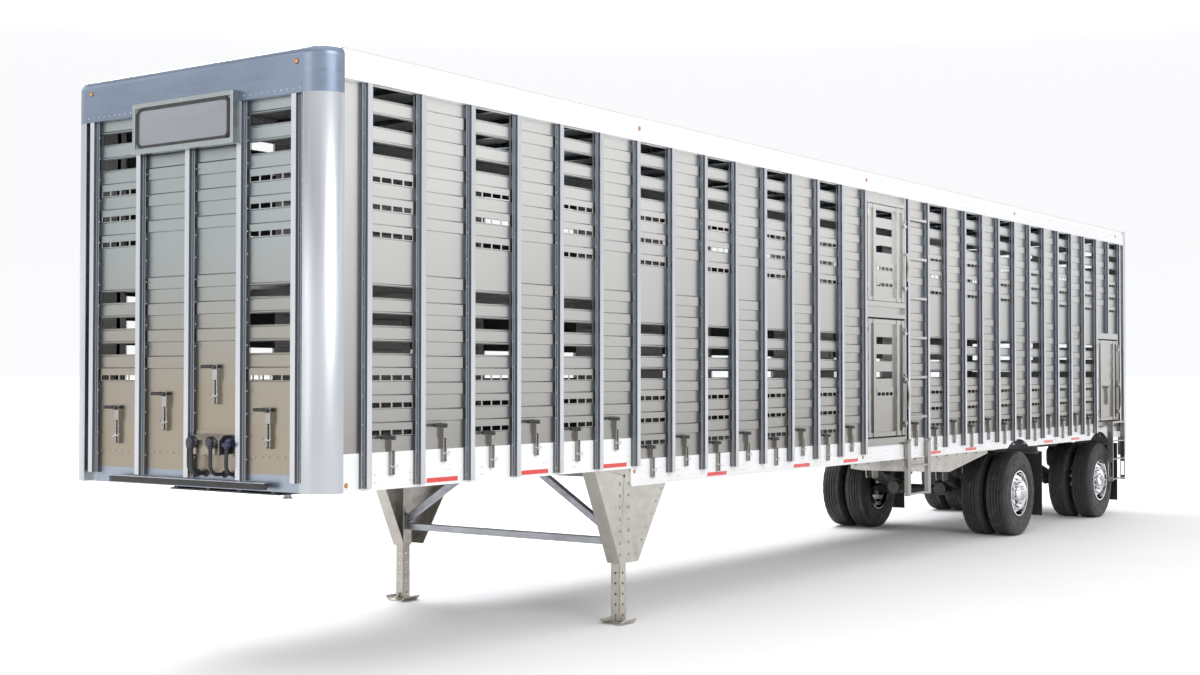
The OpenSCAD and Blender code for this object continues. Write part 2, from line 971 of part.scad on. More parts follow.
module ladders() {
  color([0.74, 0.75, 0.76])
    place() {
      // rungs between two posts
      for (i = [0 : 5])
        translate([post_x(ladder_bay), 0, 1560 + i * 430]) {
          box(0, clear_w, -1292, -1262, 0, 8);
          box(0, clear_w, -1292, -1284, -22, 0);
          box(0, clear_w, -1266, -1262, -22, 0);
        }
      // hinge lugs of the lower section
      for (x = [post_x(ladder_bay) - post_w, post_x(ladder_bay) + clear_w])
        for (dx = [1, 57])
          box(x + dx, x + dx + 18, -1307, -skin_y, 1297, 1311);
      // steps below the rear side door
      for (s = [[15330, jamb_y], [15858, half_w + 0.5]])
        difference() {
          box(s[0], s[0] + 24, -1361, -s[1], 498, 1346);
          box(s[0] - 1, s[0] + 25, -1351, -s[1] - 10, 560, 760);
        }
      for (z = [516, 800, 1056])
        box(15354, 15858, -1358, -jamb_y - 3, z, z + 14);
      box(15354, 15858, -1358, -jamb_y, 1320, 1346);
    }
}

module lower_ladder() {
  color([0.78, 0.78, 0.77])
    place() {
      x0 = post_x(ladder_bay);
      for (x = [x0 - post_w, x0 + clear_w])
        difference() {
          box(x, x + post_w, -1296, -1254, 700, 1290);
          box(x + 8, x + post_w - 8, -1286, -1250, 690, 1282);
        }
      for (z = [708, 1010])
        box(x0, x0 + clear_w, -1294, -1262, z, z + 22);
      for (x = [x0 - post_w + 20, x0 + clear_w + 20]) {
        rod_x(x, x + 36, -1300, 1302, 8);
        box(x, x + 36, -1304, -1290, 1276, 1302);
      }
      // pull pin beside the left rail
      rod_x(x0 - post_w - 60, x0 - post_w, -1276, 1010, 8);
      rod_z(x0 - post_w - 60, -1276, 990, 1032, 6);
    }
}

// ---------------------------------------------------------------- rear

module rear_frame() {
  color([0.74, 0.77, 0.80])
    place() {
      both()
        box(body_l - 104, body_l, -half_w, -1200, 840, body_h - 5);
      box(body_l - 104, body_l, -1200 + gap, 1200 - gap, 3962, body_h - 5);
      box(body_l - 104, body_l, -1200 + gap, 1200 - gap, 1110, 1262);
      // underride guard
      box(body_l - 90, body_l - 10, -1150, 1150, 480, 580);
      both()
        box(body_l - 90, body_l - 10, -640, -560, 580, 1110 - gap);
      both()
        for (z = [1400, 2100, 2800, 3500]) {
          rod_z(body_l + 11, -1206, z + 61, z + 120, 9);
          box(body_l, body_l + 11, -1260, -1206, z + 61, z + 120);
        }
    }
}

module rear_leaf() {
  x1 = body_l - 4;
  x0 = x1 - 30;
  translate([x1 - 12, 0, 0])
    rotate([90, 0, 90])
      linear_extrude(4)
        difference() {
          translate([-1192, 1272])
            square([1189, 2680]);
          for (z = [3780, 3600, 3420, 2420, 2240, 2060])
            translate([-1080, z])
              square([966, 70]);
        }
  for (y = [-1192, -83])
    box(x0, x1, y, y + 80, 1272, 3952);
  for (z = [1272, 1360, 1560, 1760, 2540, 2840, 3140, 3880])
    box(x1 - 8, x1, -1112, -83, z, z + 72);
  for (z = [1400, 2100, 2800, 3500]) {
    rod_z(body_l + 11, -1206, z, z + 60, 9);
    box(body_l + 4, body_l + 11, -1206, -1130, z, z + 60);
    box(x1, body_l + 4, -1150, -1130, z, z + 60);
  }
  for (z = [1420, 2380, 3700])
    difference() {
      box(x1, body_l + 36, -838, -802, z, z + 30);
      rod_z(body_l + 18, -820, z - 1, z + 31, 12.05);
    }
}

module rear_door_left() {
  color([0.80, 0.80, 0.79])
    place()
      rear_leaf();
}

module rear_door_right() {
  color([0.80, 0.80, 0.79])
    place()
      mirror([0, 1, 0])
        rear_leaf();
}

module lock_rod() {
  rod_z(body_l + 18, -820, 1180, 4020, 12);
  for (z = [1190, 3990])
    box(body_l + 6, body_l + 30, -830, -786, z, z + 26);
  box(body_l + 12, body_l + 26, -820, -420, 1880, 1920);
  box(body_l + 26, body_l + 60, -470, -420, 1888, 1912);
}

module lock_rod_left() {
  color([0.70, 0.71, 0.72])
    place()
      lock_rod();
}

module lock_rod_right() {
  color([0.70, 0.71, 0.72])
    place()
      mirror([0, 1, 0])
        lock_rod();
}

// ---------------------------------------------------------------- landing legs

tube_gap = 2;
tube_wall = 8;
leg_half = leg_w / 2;
tube_half = leg_half + tube_gap + tube_wall;
gusset_y = leg_y + tube_half;
crank_z = 1190;

module gusset_shape() {
  polygon([[leg_x - 423, beam_z], [leg_x - 60, 490], [leg_x + 196, 490],
    [leg_x + 632, low_beam_z], [rail_step_x + 30, low_beam_z], [rail_step_x - 30, beam_z]]);
}

module leg_housing() {
  difference() {
    union() {
      box(leg_x - tube_half, leg_x + tube_half, -leg_y - tube_half, -leg_y + tube_half,
        490, beam_z - 40);
      on_left(gusset_y, web_y - gusset_y)
        gusset_shape();
      on_left(gusset_y - 120, 120)
        polygon([[leg_x - 423, beam_z], [leg_x - 60, 490], [leg_x - 50, 490],
          [leg_x - 413, beam_z]]);
      on_left(gusset_y - 120, 120)
        polygon([[leg_x + 632, low_beam_z], [leg_x + 196, 490], [leg_x + 184, 490],
          [leg_x + 620, low_beam_z]]);
    }
    box(leg_x - leg_half - tube_gap, leg_x + leg_half + tube_gap,
      -leg_y - leg_half - tube_gap, -leg_y + leg_half + tube_gap, 480, beam_z - 60);
    // crank shaft bore
    rod_y(leg_x, -web_y - 1, -leg_y - leg_half, crank_z, 14.05);
  }
}

module leg_housings() {
  color([0.60, 0.57, 0.52])
    place()
      both()
        leg_housing();
}

module leg_braces() {
  color([0.33, 0.34, 0.36])
    place() {
      w = leg_y - tube_half;
      box(leg_x - 28, leg_x + 28, -w, w, 632, 690 - gap);
      both()
        translate([leg_x - 28, 0, 0])
          rotate([90, 0, 90])
            linear_extrude(56)
              polygon([[-w, 690], [-w, 756], [-280, beam_z], [-170, beam_z]]);
    }
}

module landing_leg() {
  box(leg_x - leg_half, leg_x + leg_half, -leg_y - leg_half, -leg_y + leg_half, 14, 880);
  // sand shoe with turned-up ends
  translate([leg_x - 100, 0, 0])
    rotate([90, 0, 90])
      linear_extrude(200)
        polygon([[-leg_y - 110, 34], [-leg_y - 70, 0], [-leg_y + 70, 0], [-leg_y + 110, 34],
          [-leg_y + 106, 42], [-leg_y + 68, 12], [-leg_y + 42, 12], [-leg_y + 42, 60],
          [-leg_y - 42, 60], [-leg_y - 42, 12], [-leg_y - 68, 12], [-leg_y - 106, 42]]);
}

module landing_leg_left() {
  color([0.42, 0.43, 0.46])
    place()
      landing_leg();
}

module landing_leg_right() {
  color([0.42, 0.43, 0.46])
    place()
      mirror([0, 1, 0])
        landing_leg();
}

module landing_crank() {
  color([0.36, 0.37, 0.39])
    place() {
      // the arm turns just outside the wall posts
      rod_y(leg_x, leg_y + leg_half + 4, half_w + 6, crank_z, 14);
      box(leg_x - 12, leg_x + 12, half_w + 5, half_w + 15, crank_z - 270, crank_z);
      rod_y(leg_x, half_w + 14, 1358, crank_z - 256, 13);
    }
}

// ---------------------------------------------------------------- underbody

sub_y0 = 430;
sub_y1 = 530;
pivot_dx = -620;
pivot_z = 760;
spring_dx = 330;
sub_low_z = 985;

module sub_rail() {
  translate([9000, -sub_y1, 0])
    rotate([90, 0, 90])
      linear_extrude(7000)
        polygon([[0, sub_low_z], [100, sub_low_z], [100, sub_low_z + 10], [55, sub_low_z + 10],
          [55, low_beam_z - 10], [100, low_beam_z - 10], [100, low_beam_z], [0, low_beam_z],
          [0, low_beam_z - 10], [45, low_beam_z - 10], [45, sub_low_z + 10],
          [0, sub_low_z + 10]]);
}

module hanger(x) {
  for (y = [-sub_y1, -sub_y0 - 10])
    translate([x + pivot_dx, y + 10, 0])
      rotate([90, 0, 0])
        linear_extrude(10)
          polygon([[-120, sub_low_z - gap], [-70, pivot_z - 70], [70, pivot_z - 70],
            [120, sub_low_z - gap]]);
  rod_y(x + pivot_dx, -sub_y1, -sub_y0, pivot_z, 20);
}

module apron_shape() {
  polygon([[7640, low_beam_z], [7640, 1040], [7900, 1010], [9650, 905], [10150, 880],
    [11300, 1050], [11300, low_beam_z]]);
}

module subframe() {
  color([0.45, 0.41, 0.35])
    place() {
      both() {
        sub_rail();
        hanger(axle_1_x);
        hanger(axle_2_x);
        on_left(1110, 6)
          apron_shape();
      }
      // cross tubes between the two rails
      for (x = [9300, 10600, axle_1_x - 420, axle_1_x + 640, axle_2_x - 420, axle_2_x + 640])
        box(x - 40, x + 40, -sub_y0 - 45 + gap, sub_y0 + 45 - gap,
          sub_low_z + 40, sub_low_z + 110);
    }
}

module arm() {
  difference() {
    union() {
      translate([0, -sub_y0 - 12, 0])
        rotate([90, 0, 0])
          linear_extrude(76)
            polygon([[pivot_dx, pivot_z - 52], [-200, 578], [80, 540], [spring_dx + 90, 560],
              [spring_dx + 90, 600], [spring_dx - 90, 600], [-60, 660], [pivot_dx, pivot_z + 52]]);
      rod_y(pivot_dx, -sub_y0 - 88, -sub_y0 - 12, pivot_z, 52);
    }
    rod_y(pivot_dx, -sub_y0 - 90, -sub_y0 - 10, pivot_z, 20.05);
    // seat of the axle tube
    rod_y(0, -sub_y0 - 90, -sub_y0 - 10, tyre_r, 63);
  }
}

module axle(x) {
  translate([x, 0, 0]) {
    both() {
      arm();
      rod_y(0, -1028, 0, tyre_r, 45);
      // brake chamber
      rod_x(-330, -150, -320, 560, 80);
      box(-150, -40, -370, -270, 500, 600);
    }
    rod_y(0, -690, 690, tyre_r, 64);
    both()
      box(-60, 60, -sub_y0 - 92, -sub_y0 - 8, 448, 470);
    both()
      for (dx = [-72, 72])
        rod_z(dx, -sub_y0 - 50, 440, 640, 9);
  }
}

module axle_1() {
  color([0.16, 0.16, 0.17])
    place()
      axle(axle_1_x);
}

module axle_2() {
  color([0.16, 0.16, 0.17])
    place()
      axle(axle_2_x);
}

module air_springs(x) {
  both()
    translate([x + spring_dx, -sub_y0 - 50, 600])
      rotate_extrude()
        polygon([[0, 0], [70, 0], [76, 60], [112, 90], [128, 150], [124, 250], [100, 330],
          [90, sub_low_z - 600], [0, sub_low_z - 600]]);
}

module air_springs_1() {
  color([0.06, 0.06, 0.06])
    place()
      air_springs(axle_1_x);
}

module air_springs_2() {
  color([0.06, 0.06, 0.06])
    place()
      air_springs(axle_2_x);
}

// ---------------------------------------------------------------- wheels

tyre_inner_y = tyre_outer_y - dual_gap;
disc_y = (tyre_outer_y + tyre_inner_y) / 2;
bore_r = 45.05;

module tyre(y) {
  h = tyre_w / 2;
  translate([0, y, tyre_r])
    rotate([90, 0, 0])
      rotate_extrude($fn = 96)
        polygon([[rim_r, -h + 34], [rim_r + 16, -h + 12], [400, -h], [462, -h + 4],
          [505, -h + 16], [518, -h + 26], [tyre_r, -h + 40], [tyre_r, -62], [514, -60],
          [514, -52], [tyre_r, -50], [tyre_r, -24], [514, -22], [514, -14], [tyre_r, -12],
          [tyre_r, 12], [514, 14], [514, 22], [tyre_r, 24], [tyre_r, 50], [514, 52],
          [514, 60], [tyre_r, 62], [tyre_r, h - 40], [518, h - 26], [505, h - 16],
          [462, h - 4], [400, h], [rim_r + 16, h - 12], [rim_r, h - 34]]);
}

// section of one rim: radius, and distance outward from the disc face
module rim_section() {
  o = dual_gap / 2;
  translate([rim_r - 10, o - 110])
    square([10, 220]);
  translate([rim_r - 14, o + 104])
    square([14, 18]);
  translate([rim_r - 14, o - 122])
    square([14, 18]);
  polygon([[rim_r - 8, o - 84], [rim_r - 8, o - 104], [210, 0], [100, 0], [100, 13],
    [204, 13]]);
}

module wheel_pair(x) {
  translate([x, -disc_y, tyre_r])
    rotate([90, 0, 0])
      difference() {
        union() {
          rotate_extrude($fn = 96)
            rim_section();
          mirror([0, 0, 1])
            rotate_extrude($fn = 96)
              rim_section();
          // hub and cap
          translate([0, 0, -250])
            cylinder(h = 330, r = 104);
          cylinder(h = 128, r = 78);
          // brake drum
          translate([0, 0, -268])
            difference() {
              cylinder(h = 200, r = 206);
              translate([0, 0, -1])
                cylinder(h = 180, r = 190);
            }
          // wheel nuts
          for (i = [0 : 9])
            rotate([0, 0, i * 36])
              translate([143, 0, 0])
                cylinder(h = 52, r = 17);
        }
        // spindle bore
        translate([0, 0, -300])
          cylinder(h = 364, r = bore_r);
        // hand holes
        for (i = [0 : 9])
          rotate([0, 0, 18 + i * 36])
            translate([222, 0, -60])
              cylinder(h = 120, r = 24);
      }
}

module tyre_pair(x) {
  translate([x, 0, 0]) {
    tyre(-tyre_outer_y);
    tyre(-tyre_inner_y);
  }
}

module tyres_1_left() {
  color([0.05, 0.05, 0.05])
    place()
      tyre_pair(axle_1_x);
}

module tyres_1_right() {
  color([0.05, 0.05, 0.05])
    place()
      mirror([0, 1, 0])
        tyre_pair(axle_1_x);
}

module tyres_2_left() {
  color([0.05, 0.05, 0.05])
    place()
      tyre_pair(axle_2_x);
}

module tyres_2_right() {
  color([0.05, 0.05, 0.05])
    place()
      mirror([0, 1, 0])
        tyre_pair(axle_2_x);
}

module rims_1_left() {
  color([0.86, 0.87, 0.88])
    place()
      wheel_pair(axle_1_x);
}

module rims_1_right() {
  color([0.86, 0.87, 0.88])
    place()
      mirror([0, 1, 0])
        wheel_pair(axle_1_x);
}

module rims_2_left() {
  color([0.86, 0.87, 0.88])
    place()
      wheel_pair(axle_2_x);
}

module rims_2_right() {
  color([0.86, 0.87, 0.88])
    place()
      mirror([0, 1, 0])
        wheel_pair(axle_2_x);
}

// ---------------------------------------------------------------- small parts

module mud_flaps() {
  color([0.08, 0.08, 0.08])
    place()
      both()
        for (x = [axle_1_x + 715, axle_2_x + 675]) {
          box(x, x + 8, -1278, -655, 200, 1024);
          box(x - 12, x, -1228, -655, 990, low_floor_z - floor_t);
          box(x - 12, x + 20, -1228, -655, 1024, 1040);
        }
}

lamp_stations = [3520, 7650, 11761, 15700];

module marker_lamps() {
  color([0.85, 0.45, 0.08])
    place() {
      both()
        for (x = lamp_stations) {
          rod_y(x, -half_w - 9, -half_w, 4014, 16);
          if (x < 8000)
            rod_y(x, -skin_y - 8, -skin_y, x < 4000 ? 1222 : 1158, 14);
        }
      both()
        rod_y(260, -skin_y - 8, -skin_y, 1292, 14);
      for (y = [-1050, 1050])
        rod_x(-9, 0, y, 4014, 16);
      for (y = [-1080, -940, 940, 1080])
        rod_x(body_l, body_l + 9, y, 1190, 45);
      for (y = [-200, 0, 200])
        rod_x(body_l, body_l + 9, y, 4060, 16);
    }
}

tape_bays = [1, 3, 5, 8, 11, 13, 17, 19, 24, 26];

module tape_strips() {
  color([0.75, 0.05, 0.06])
    place() {
      for (k = tape_bays)
        box(bay_mid(k) - 160, bay_mid(k) + 160, -skin_y - 1, -skin_y,
          k < step_bay ? 1268 : 1124, k < step_bay ? 1300 : 1156);
      mirror([0, 1, 0])
        for (k = tape_bays)
          box(bay_mid(k) - 160, bay_mid(k) + 160, -skin_y - 1, -skin_y,
            k < step_bay ? 1268 : 1124, k < step_bay ? 1300 : 1156);
      for (y = [-1100, -500, 200, 800])
        box(body_l - 10, body_l - 9, y, y + 300, 505, 555);
    }
}

// round heads on the posts' side flanges
module rivets() {
  color([0.62, 0.64, 0.66])
    place()
      for (k = [0 : 13])
        for (z = [1330, 1420, 1700, 2100, 2500, 2900, 3300, 3700])
          translate([post_x(k) - post_w + 12, -skin_y - 24, z])
            rotate([90, 0, 0])
              cylinder(h = 3, r = 7);
}

floor_deck();
cross_members();
coupler_plate();
kingpin();
lower_rails();
top_rails();
upper_deck();
roof_sheet();
roof_bows();
front_cap();
front_frame();
wall_posts();
vent_panels();
ribbed_panels();
vent_guides();
sign_box();
nose_box();
gladhands();
air_hoses();
bumper_bar();
door_frames();
ladders();
rear_frame();
leg_housings();
leg_braces();
subframe();
mud_flaps();
marker_lamps();
tape_strips();
rivets();
door_upper();
latch_upper();
door_lower();
latch_lower();
door_rear_side();
latch_rear_side();
rear_door_left();
rear_door_right();
lock_rod_left();
lock_rod_right();
shutters_left();
shutters_right();
shutters_front();
landing_leg_left();
landing_leg_right();
landing_crank();
lower_ladder();
tyres_1_left();
tyres_1_right();
tyres_2_left();
tyres_2_right();
rims_1_left();
rims_1_right();
rims_2_left();
rims_2_right();
axle_1();
axle_2();
air_springs_1();
air_springs_2();
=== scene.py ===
"""Looks of a two-deck livestock semi-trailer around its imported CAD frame.

Metres. The front faces -X and the left side -Y.
"""
from math import cos, pi, radians, sin

import bmesh
import bpy
from mathutils import Matrix, Vector


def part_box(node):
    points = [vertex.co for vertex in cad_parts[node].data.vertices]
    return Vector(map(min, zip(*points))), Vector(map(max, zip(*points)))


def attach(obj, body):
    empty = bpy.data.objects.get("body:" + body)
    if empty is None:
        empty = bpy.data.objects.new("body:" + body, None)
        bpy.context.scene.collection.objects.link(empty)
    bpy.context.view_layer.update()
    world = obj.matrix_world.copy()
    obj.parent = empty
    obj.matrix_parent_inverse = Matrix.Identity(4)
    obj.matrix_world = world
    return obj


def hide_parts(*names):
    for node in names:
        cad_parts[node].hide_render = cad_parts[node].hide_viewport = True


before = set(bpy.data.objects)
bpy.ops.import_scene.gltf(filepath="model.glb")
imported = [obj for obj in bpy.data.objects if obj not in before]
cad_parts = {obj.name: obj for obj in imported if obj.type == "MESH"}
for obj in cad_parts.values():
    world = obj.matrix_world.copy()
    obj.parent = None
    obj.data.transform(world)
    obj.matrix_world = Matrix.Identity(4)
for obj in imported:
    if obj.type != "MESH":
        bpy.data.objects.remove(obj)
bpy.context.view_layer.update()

# ---------------------------------------------------------------- driving dimensions, from the frame

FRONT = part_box("front_cap")[0].x
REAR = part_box("rear_frame")[1].x
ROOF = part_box("roof_sheet")[1].z
HALF_W = -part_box("wall_posts")[0].y
POST_D = 0.050
SKIN = HALF_W - POST_D
PITCH = 0.516
POST_W = 0.077
CLEAR = PITCH - POST_W
FIRST_POST = 0.449
BAYS = 30
STEP_BAY, DOOR_BAY, REAR_BAY = 6, 14, 28
RAIL_TOP, RAIL_LOW_TOP, ROOF_RAIL = 1.495, 1.318, 3.911
RAIL_BOTTOM, RAIL_LOW_BOTTOM, STEP_X = 1.248, 1.103, 3.470
ROW_DROP = 0.172
RIB_D = 0.009
SHEET_T = 0.004
VENT_STEM, RIBBED_STEM = 0.094, 0.161
DOOR_W = 2 * PITCH - POST_W
DOOR_FACE = 1.251
SIDES = (-1, 1)


def at(station):
    """X of a station measured back from the front plane."""
    return FRONT + station


def post_x(k):
    """Station of the right edge of post k."""
    return FIRST_POST + k * PITCH


def bay_mid(k):
    return post_x(k) + CLEAR / 2


def is_door_bay(k, side):
    return side < 0 and k in (DOOR_BAY, DOOR_BAY + 1)


def is_vent(k, side):
    if side > 0 or k < DOOR_BAY:
        return k % 2 == 0
    return k % 2 == 1


def wall_low(k, side):
    """Lowest point of the wall sheet in bay k."""
    if side < 0 and k >= REAR_BAY:
        return 2.600
    return RAIL_TOP if k < STEP_BAY else RAIL_LOW_TOP


def has_grip(k, side):
    """Does bay k have a shutter handle? The two bays over the rear side door have none."""
    return not is_door_bay(k, side) and not (side < 0 and k >= REAR_BAY)


def stem(k, side):
    """Height of the shutter handle's stem in bay k."""
    return wall_low(k, side) + (VENT_STEM if is_vent(k, side) else RIBBED_STEM)


# ---------------------------------------------------------------- materials


class Finish:
    """A procedural material: mottled colour, streaked roughness, bump, dust and painted low shade on object
    coordinates.
    """

    def __init__(self, name, colour, metallic=0.0, rough=0.5):
        self.mat = bpy.data.materials.new(name)
        self.mat.use_nodes = True
        self.tree = self.mat.node_tree
        self.bsdf = self.tree.nodes["Principled BSDF"]
        self.bsdf.inputs["Metallic"].default_value = metallic
        self.colour = colour
        self.rough = rough
        self.coords = self.tree.nodes.new("ShaderNodeTexCoord").outputs["Object"]
        self.base = None
        self.normal = None

    def node(self, kind, **values):
        node = self.tree.nodes.new(kind)
        for key, value in values.items():
            setattr(node, key, value)
        return node

    def link(self, a, b):
        self.tree.links.new(a, b)

    def noise(self, scale, stretch=(1, 1, 1), detail=4.0):
        mapping = self.node("ShaderNodeMapping")
        mapping.inputs["Scale"].default_value = stretch
        self.link(self.coords, mapping.inputs["Vector"])
        noise = self.node("ShaderNodeTexNoise")
        noise.inputs["Scale"].default_value = scale
        noise.inputs["Detail"].default_value = detail
        self.link(mapping.outputs["Vector"], noise.inputs["Vector"])
        return noise.outputs["Fac"]

    def axis(self, name, output="Object"):
        """One number of the place on the surface, or of the way it faces."""
        split = self.node("ShaderNodeSeparateXYZ")
        self.link(self.tree.nodes.new("ShaderNodeTexCoord").outputs[output], split.inputs["Vector"])
        return split.outputs[name]

    def remap(self, value, low, high, new_low, new_high):
        node = self.node("ShaderNodeMapRange")
        names = ("From Min", "From Max", "To Min", "To Max")
        for name, number in zip(names, (low, high, new_low, new_high)):
            node.inputs[name].default_value = number
        self.link(value, node.inputs["Value"])
        return node.outputs["Result"]

    def mix(self, factor, a, b):
        node = self.node("ShaderNodeMix", data_type="RGBA")
        self.link(factor, node.inputs["Factor"])
        for socket, value in ((node.inputs["A"], a), (node.inputs["B"], b)):
            if isinstance(value, tuple):
                socket.default_value = (*value, 1.0)
            else:
                self.link(value, socket)
        return node.outputs["Result"]

    def mottle(self, amount, scale=3.0, stretch=(1, 1, 1)):
        """Colour that drifts lighter and darker."""
        dark = tuple(c * (1 - amount) for c in self.colour)
        light = tuple(min(1.0, c * (1 + amount)) for c in self.colour)
        self.base = self.mix(self.remap(self.noise(scale, stretch), 0.3, 0.7, 0, 1), dark, light)
        return self

    def streaks(self, amount, scale=4.0, stretch=(1, 1, 30)):
        """Roughness that varies along the rolling or wiping direction."""
        low, high = max(0.02, self.rough - amount), min(1.0, self.rough + amount)
        rough = self.remap(self.noise(scale, stretch, 2), 0.3, 0.7, low, high)
        self.link(rough, self.bsdf.inputs["Roughness"])
        return self

    def bump(self, scale, distance, strength=0.3, stretch=(1, 1, 1), detail=4.0):
        node = self.node("ShaderNodeBump")
        node.inputs["Strength"].default_value = strength
        node.inputs["Distance"].default_value = distance
        self.link(self.noise(scale, stretch, detail), node.inputs["Height"])
        if self.normal is not None:
            self.link(self.normal, node.inputs["Normal"])
        self.normal = node.outputs["Normal"]
        return self

    def dust_and_low_shade(self, colour, top, bottom, amount):
        """Road dust that thickens from the height top down to bottom; on the wall sheets the same darkening
        also stands in as painted shade for the dark ground they reflect.
        """
        height = self.remap(self.axis("Z"), top, bottom, 0, amount)
        patch = self.node("ShaderNodeMath", operation="MULTIPLY")
        self.link(height, patch.inputs[0])
        self.link(self.remap(self.noise(7.0, (1, 1, 0.5), 8), 0.35, 0.65, 0.3, 1), patch.inputs[1])
        self.base = self.mix(patch.outputs["Value"], self.base, colour)
        return self

    def painted_low_shade(self, colour, stops):
        """Painted shade low on the wall, darker towards the bottom for the dark ground seen in its
        reflection: stops are (height, amount) pairs from the top down.
        """
        (top, at_top), (bottom, at_bottom) = stops
        self.base = self.mix(self.remap(self.axis("Z"), top, bottom, at_top, at_bottom), self.base, colour)
        return self

    def shaded_sides(self, colour):
        """Darker metal on the sides of a post: faces along the wall it stands on."""
        ends = self.remap(self.axis("X"), at(0.101), at(0.105), 0, 1)
        sizes = []
        for axis in ("X", "Y"):
            size = self.node("ShaderNodeMath", operation="ABSOLUTE")
            self.link(self.axis(axis, "Normal"), size.inputs[0])
            sizes.append(self.remap(size.outputs["Value"], 0.6, 0.9, 0, 1))
        pick = self.node("ShaderNodeMix", data_type="FLOAT")
        for socket, value in zip(("Factor", "A", "B"), (ends, sizes[1], sizes[0])):
            self.link(value, pick.inputs[socket])
        self.base = self.mix(pick.outputs["Result"], self.base, colour)
        return self

    def worn(self, colour, amount, scale=14.0):
        """Chips and scuffs of another colour in small patches."""
        spots = self.remap(self.noise(scale, (1, 1, 1), 10), 0.60, 0.68, 0, amount)
        self.base = self.mix(spots, self.base, colour)
        return self

    def done(self):
        self.link(self.base, self.bsdf.inputs["Base Color"])
        if self.normal is not None:
            self.link(self.normal, self.bsdf.inputs["Normal"])
        return self.mat


# Brown of road dust; on the wall sheets it also serves as painted shade low on the wall.
DUST_AND_SHADE_BROWN = (0.36, 0.31, 0.25)


def sheet_aluminium():
    f = Finish("sheet_aluminium", (0.66, 0.655, 0.635), 1.0, 0.30)
    f.mottle(0.04, 0.9, (1, 1, 0.5)).streaks(0.015, 1.5, (1, 1, 6))
    f.bump(1.1, 0.008, 0.2, (1, 1, 0.5), 1).bump(240, 0.0002, 0.02, (0.3, 1, 3))
    # Painted shade: the sheet darkens and browns towards the bottom of the wall, standing in for the dark
    # ground it reflects; the patchy brown is partly road dust.
    f.painted_low_shade((0.24, 0.235, 0.222), ((3.4, 0.0), (1.5, 0.80)))
    return f.dust_and_low_shade(DUST_AND_SHADE_BROWN, 2.0, 1.3, 0.20).done()


def front_aluminium():
    f = Finish("front_aluminium", (0.34, 0.37, 0.372), 1.0, 0.32)
    f.mottle(0.05, 0.9, (1, 1, 0.5)).streaks(0.015, 1.5, (1, 6, 1))
    f.bump(1.2, 0.008, 0.2, (1, 1, 0.5), 1).bump(240, 0.0002, 0.02, (1, 0.3, 3))
    # Painted shade: the front wall turns darker and beige towards the bottom for the ground it reflects; the
    # patchy part is partly road dust.
    f.painted_low_shade((0.33, 0.285, 0.225), ((2.9, 0.0), (1.9, 0.85)))
    return f.dust_and_low_shade((0.34, 0.29, 0.22), 2.4, 1.2, 0.30).done()


def post_aluminium():
    f = Finish("post_aluminium", (0.58, 0.60, 0.63), 1.0, 0.28)
    f.mottle(0.03, 1.5, (1, 1, 0.2)).streaks(0.04, 3, (4, 4, 0.2))
    f.shaded_sides((0.115, 0.13, 0.15))
    return f.bump(160, 0.0002, 0.03, (2, 2, 0.2)).dust_and_low_shade(DUST_AND_SHADE_BROWN, 1.7, 1.2, 0.25).done()


def white_aluminium():
    f = Finish("white_aluminium", (0.74, 0.745, 0.755), 0.0, 0.28)
    f.mottle(0.02, 1.2).streaks(0.06, 5.0, (0.4, 1, 6))
    f.bump(0.9, 0.004, 0.10, (1, 1, 0.8), 1)
    f.bsdf.inputs["Coat Weight"].default_value = 0.35
    f.bsdf.inputs["Coat Roughness"].default_value = 0.12
    return f.dust_and_low_shade(DUST_AND_SHADE_BROWN, 1.32, 1.08, 0.18).done()


def roof_aluminium():
    f = Finish("roof_aluminium", (0.44, 0.45, 0.465), 0.5, 0.5)
    f.mottle(0.06, 0.8, (0.3, 1, 1)).streaks(0.05, 1.5, (6, 1, 1))
    f.bump(1.2, 0.006, 0.12, (0.6, 1, 1), 1)
    return f.worn((0.33, 0.33, 0.33), 0.4, 3.0).done()


def bright_corner():
    f = Finish("bright_corner", (0.60, 0.615, 0.64), 1.0, 0.34)
    f.mottle(0.03, 2.0, (1, 1, 0.3)).streaks(0.05, 8.0, (6, 6, 0.2))
    return f.bump(2.0, 0.006, 0.15, (1, 1, 0.4), 1).done()


def nose_aluminium():
    """Bright corner sheets, with warm kick plates between them and a cold grey strip at the foot."""
    f = Finish("nose_aluminium", (0.47, 0.49, 0.52), 1.0, 0.34)
    f.mottle(0.03, 2.0, (1, 1, 0.3)).streaks(0.05, 8.0, (6, 6, 0.2))
    side = f.node("ShaderNodeMath", operation="ABSOLUTE")
    f.link(f.axis("Y"), side.inputs[0])
    plates = f.mix(f.remap(f.axis("Z"), 1.362, 1.352, 0, 1), (0.33, 0.29, 0.23), (0.32, 0.36, 0.42))
    f.base = f.mix(f.remap(side.outputs["Value"], 1.036, 1.026, 0, 1), f.base, plates)
    return f.bump(2.0, 0.006, 0.15, (1, 1, 0.4), 1).done()


def cap_blue():
    f = Finish("cap_blue_grey", (0.19, 0.235, 0.31), 0.85, 0.34)
    f.mottle(0.08, 2.5).streaks(0.10, 6.0, (1, 0.3, 3))
    f.bsdf.inputs["Coat Weight"].default_value = 0.25
    f.bsdf.inputs["Coat Roughness"].default_value = 0.2
    return f.bump(40, 0.0006, 0.1).done()


def deck_aluminium():
    f = Finish("deck_aluminium", (0.50, 0.50, 0.49), 1.0, 0.45)
    f.mottle(0.10, 5.0, (0.3, 2, 1)).streaks(0.12, 6.0, (0.2, 6, 1))
    return f.bump(120, 0.0012, 0.3, (0.3, 2, 1)).worn((0.35, 0.32, 0.28), 0.5).done()


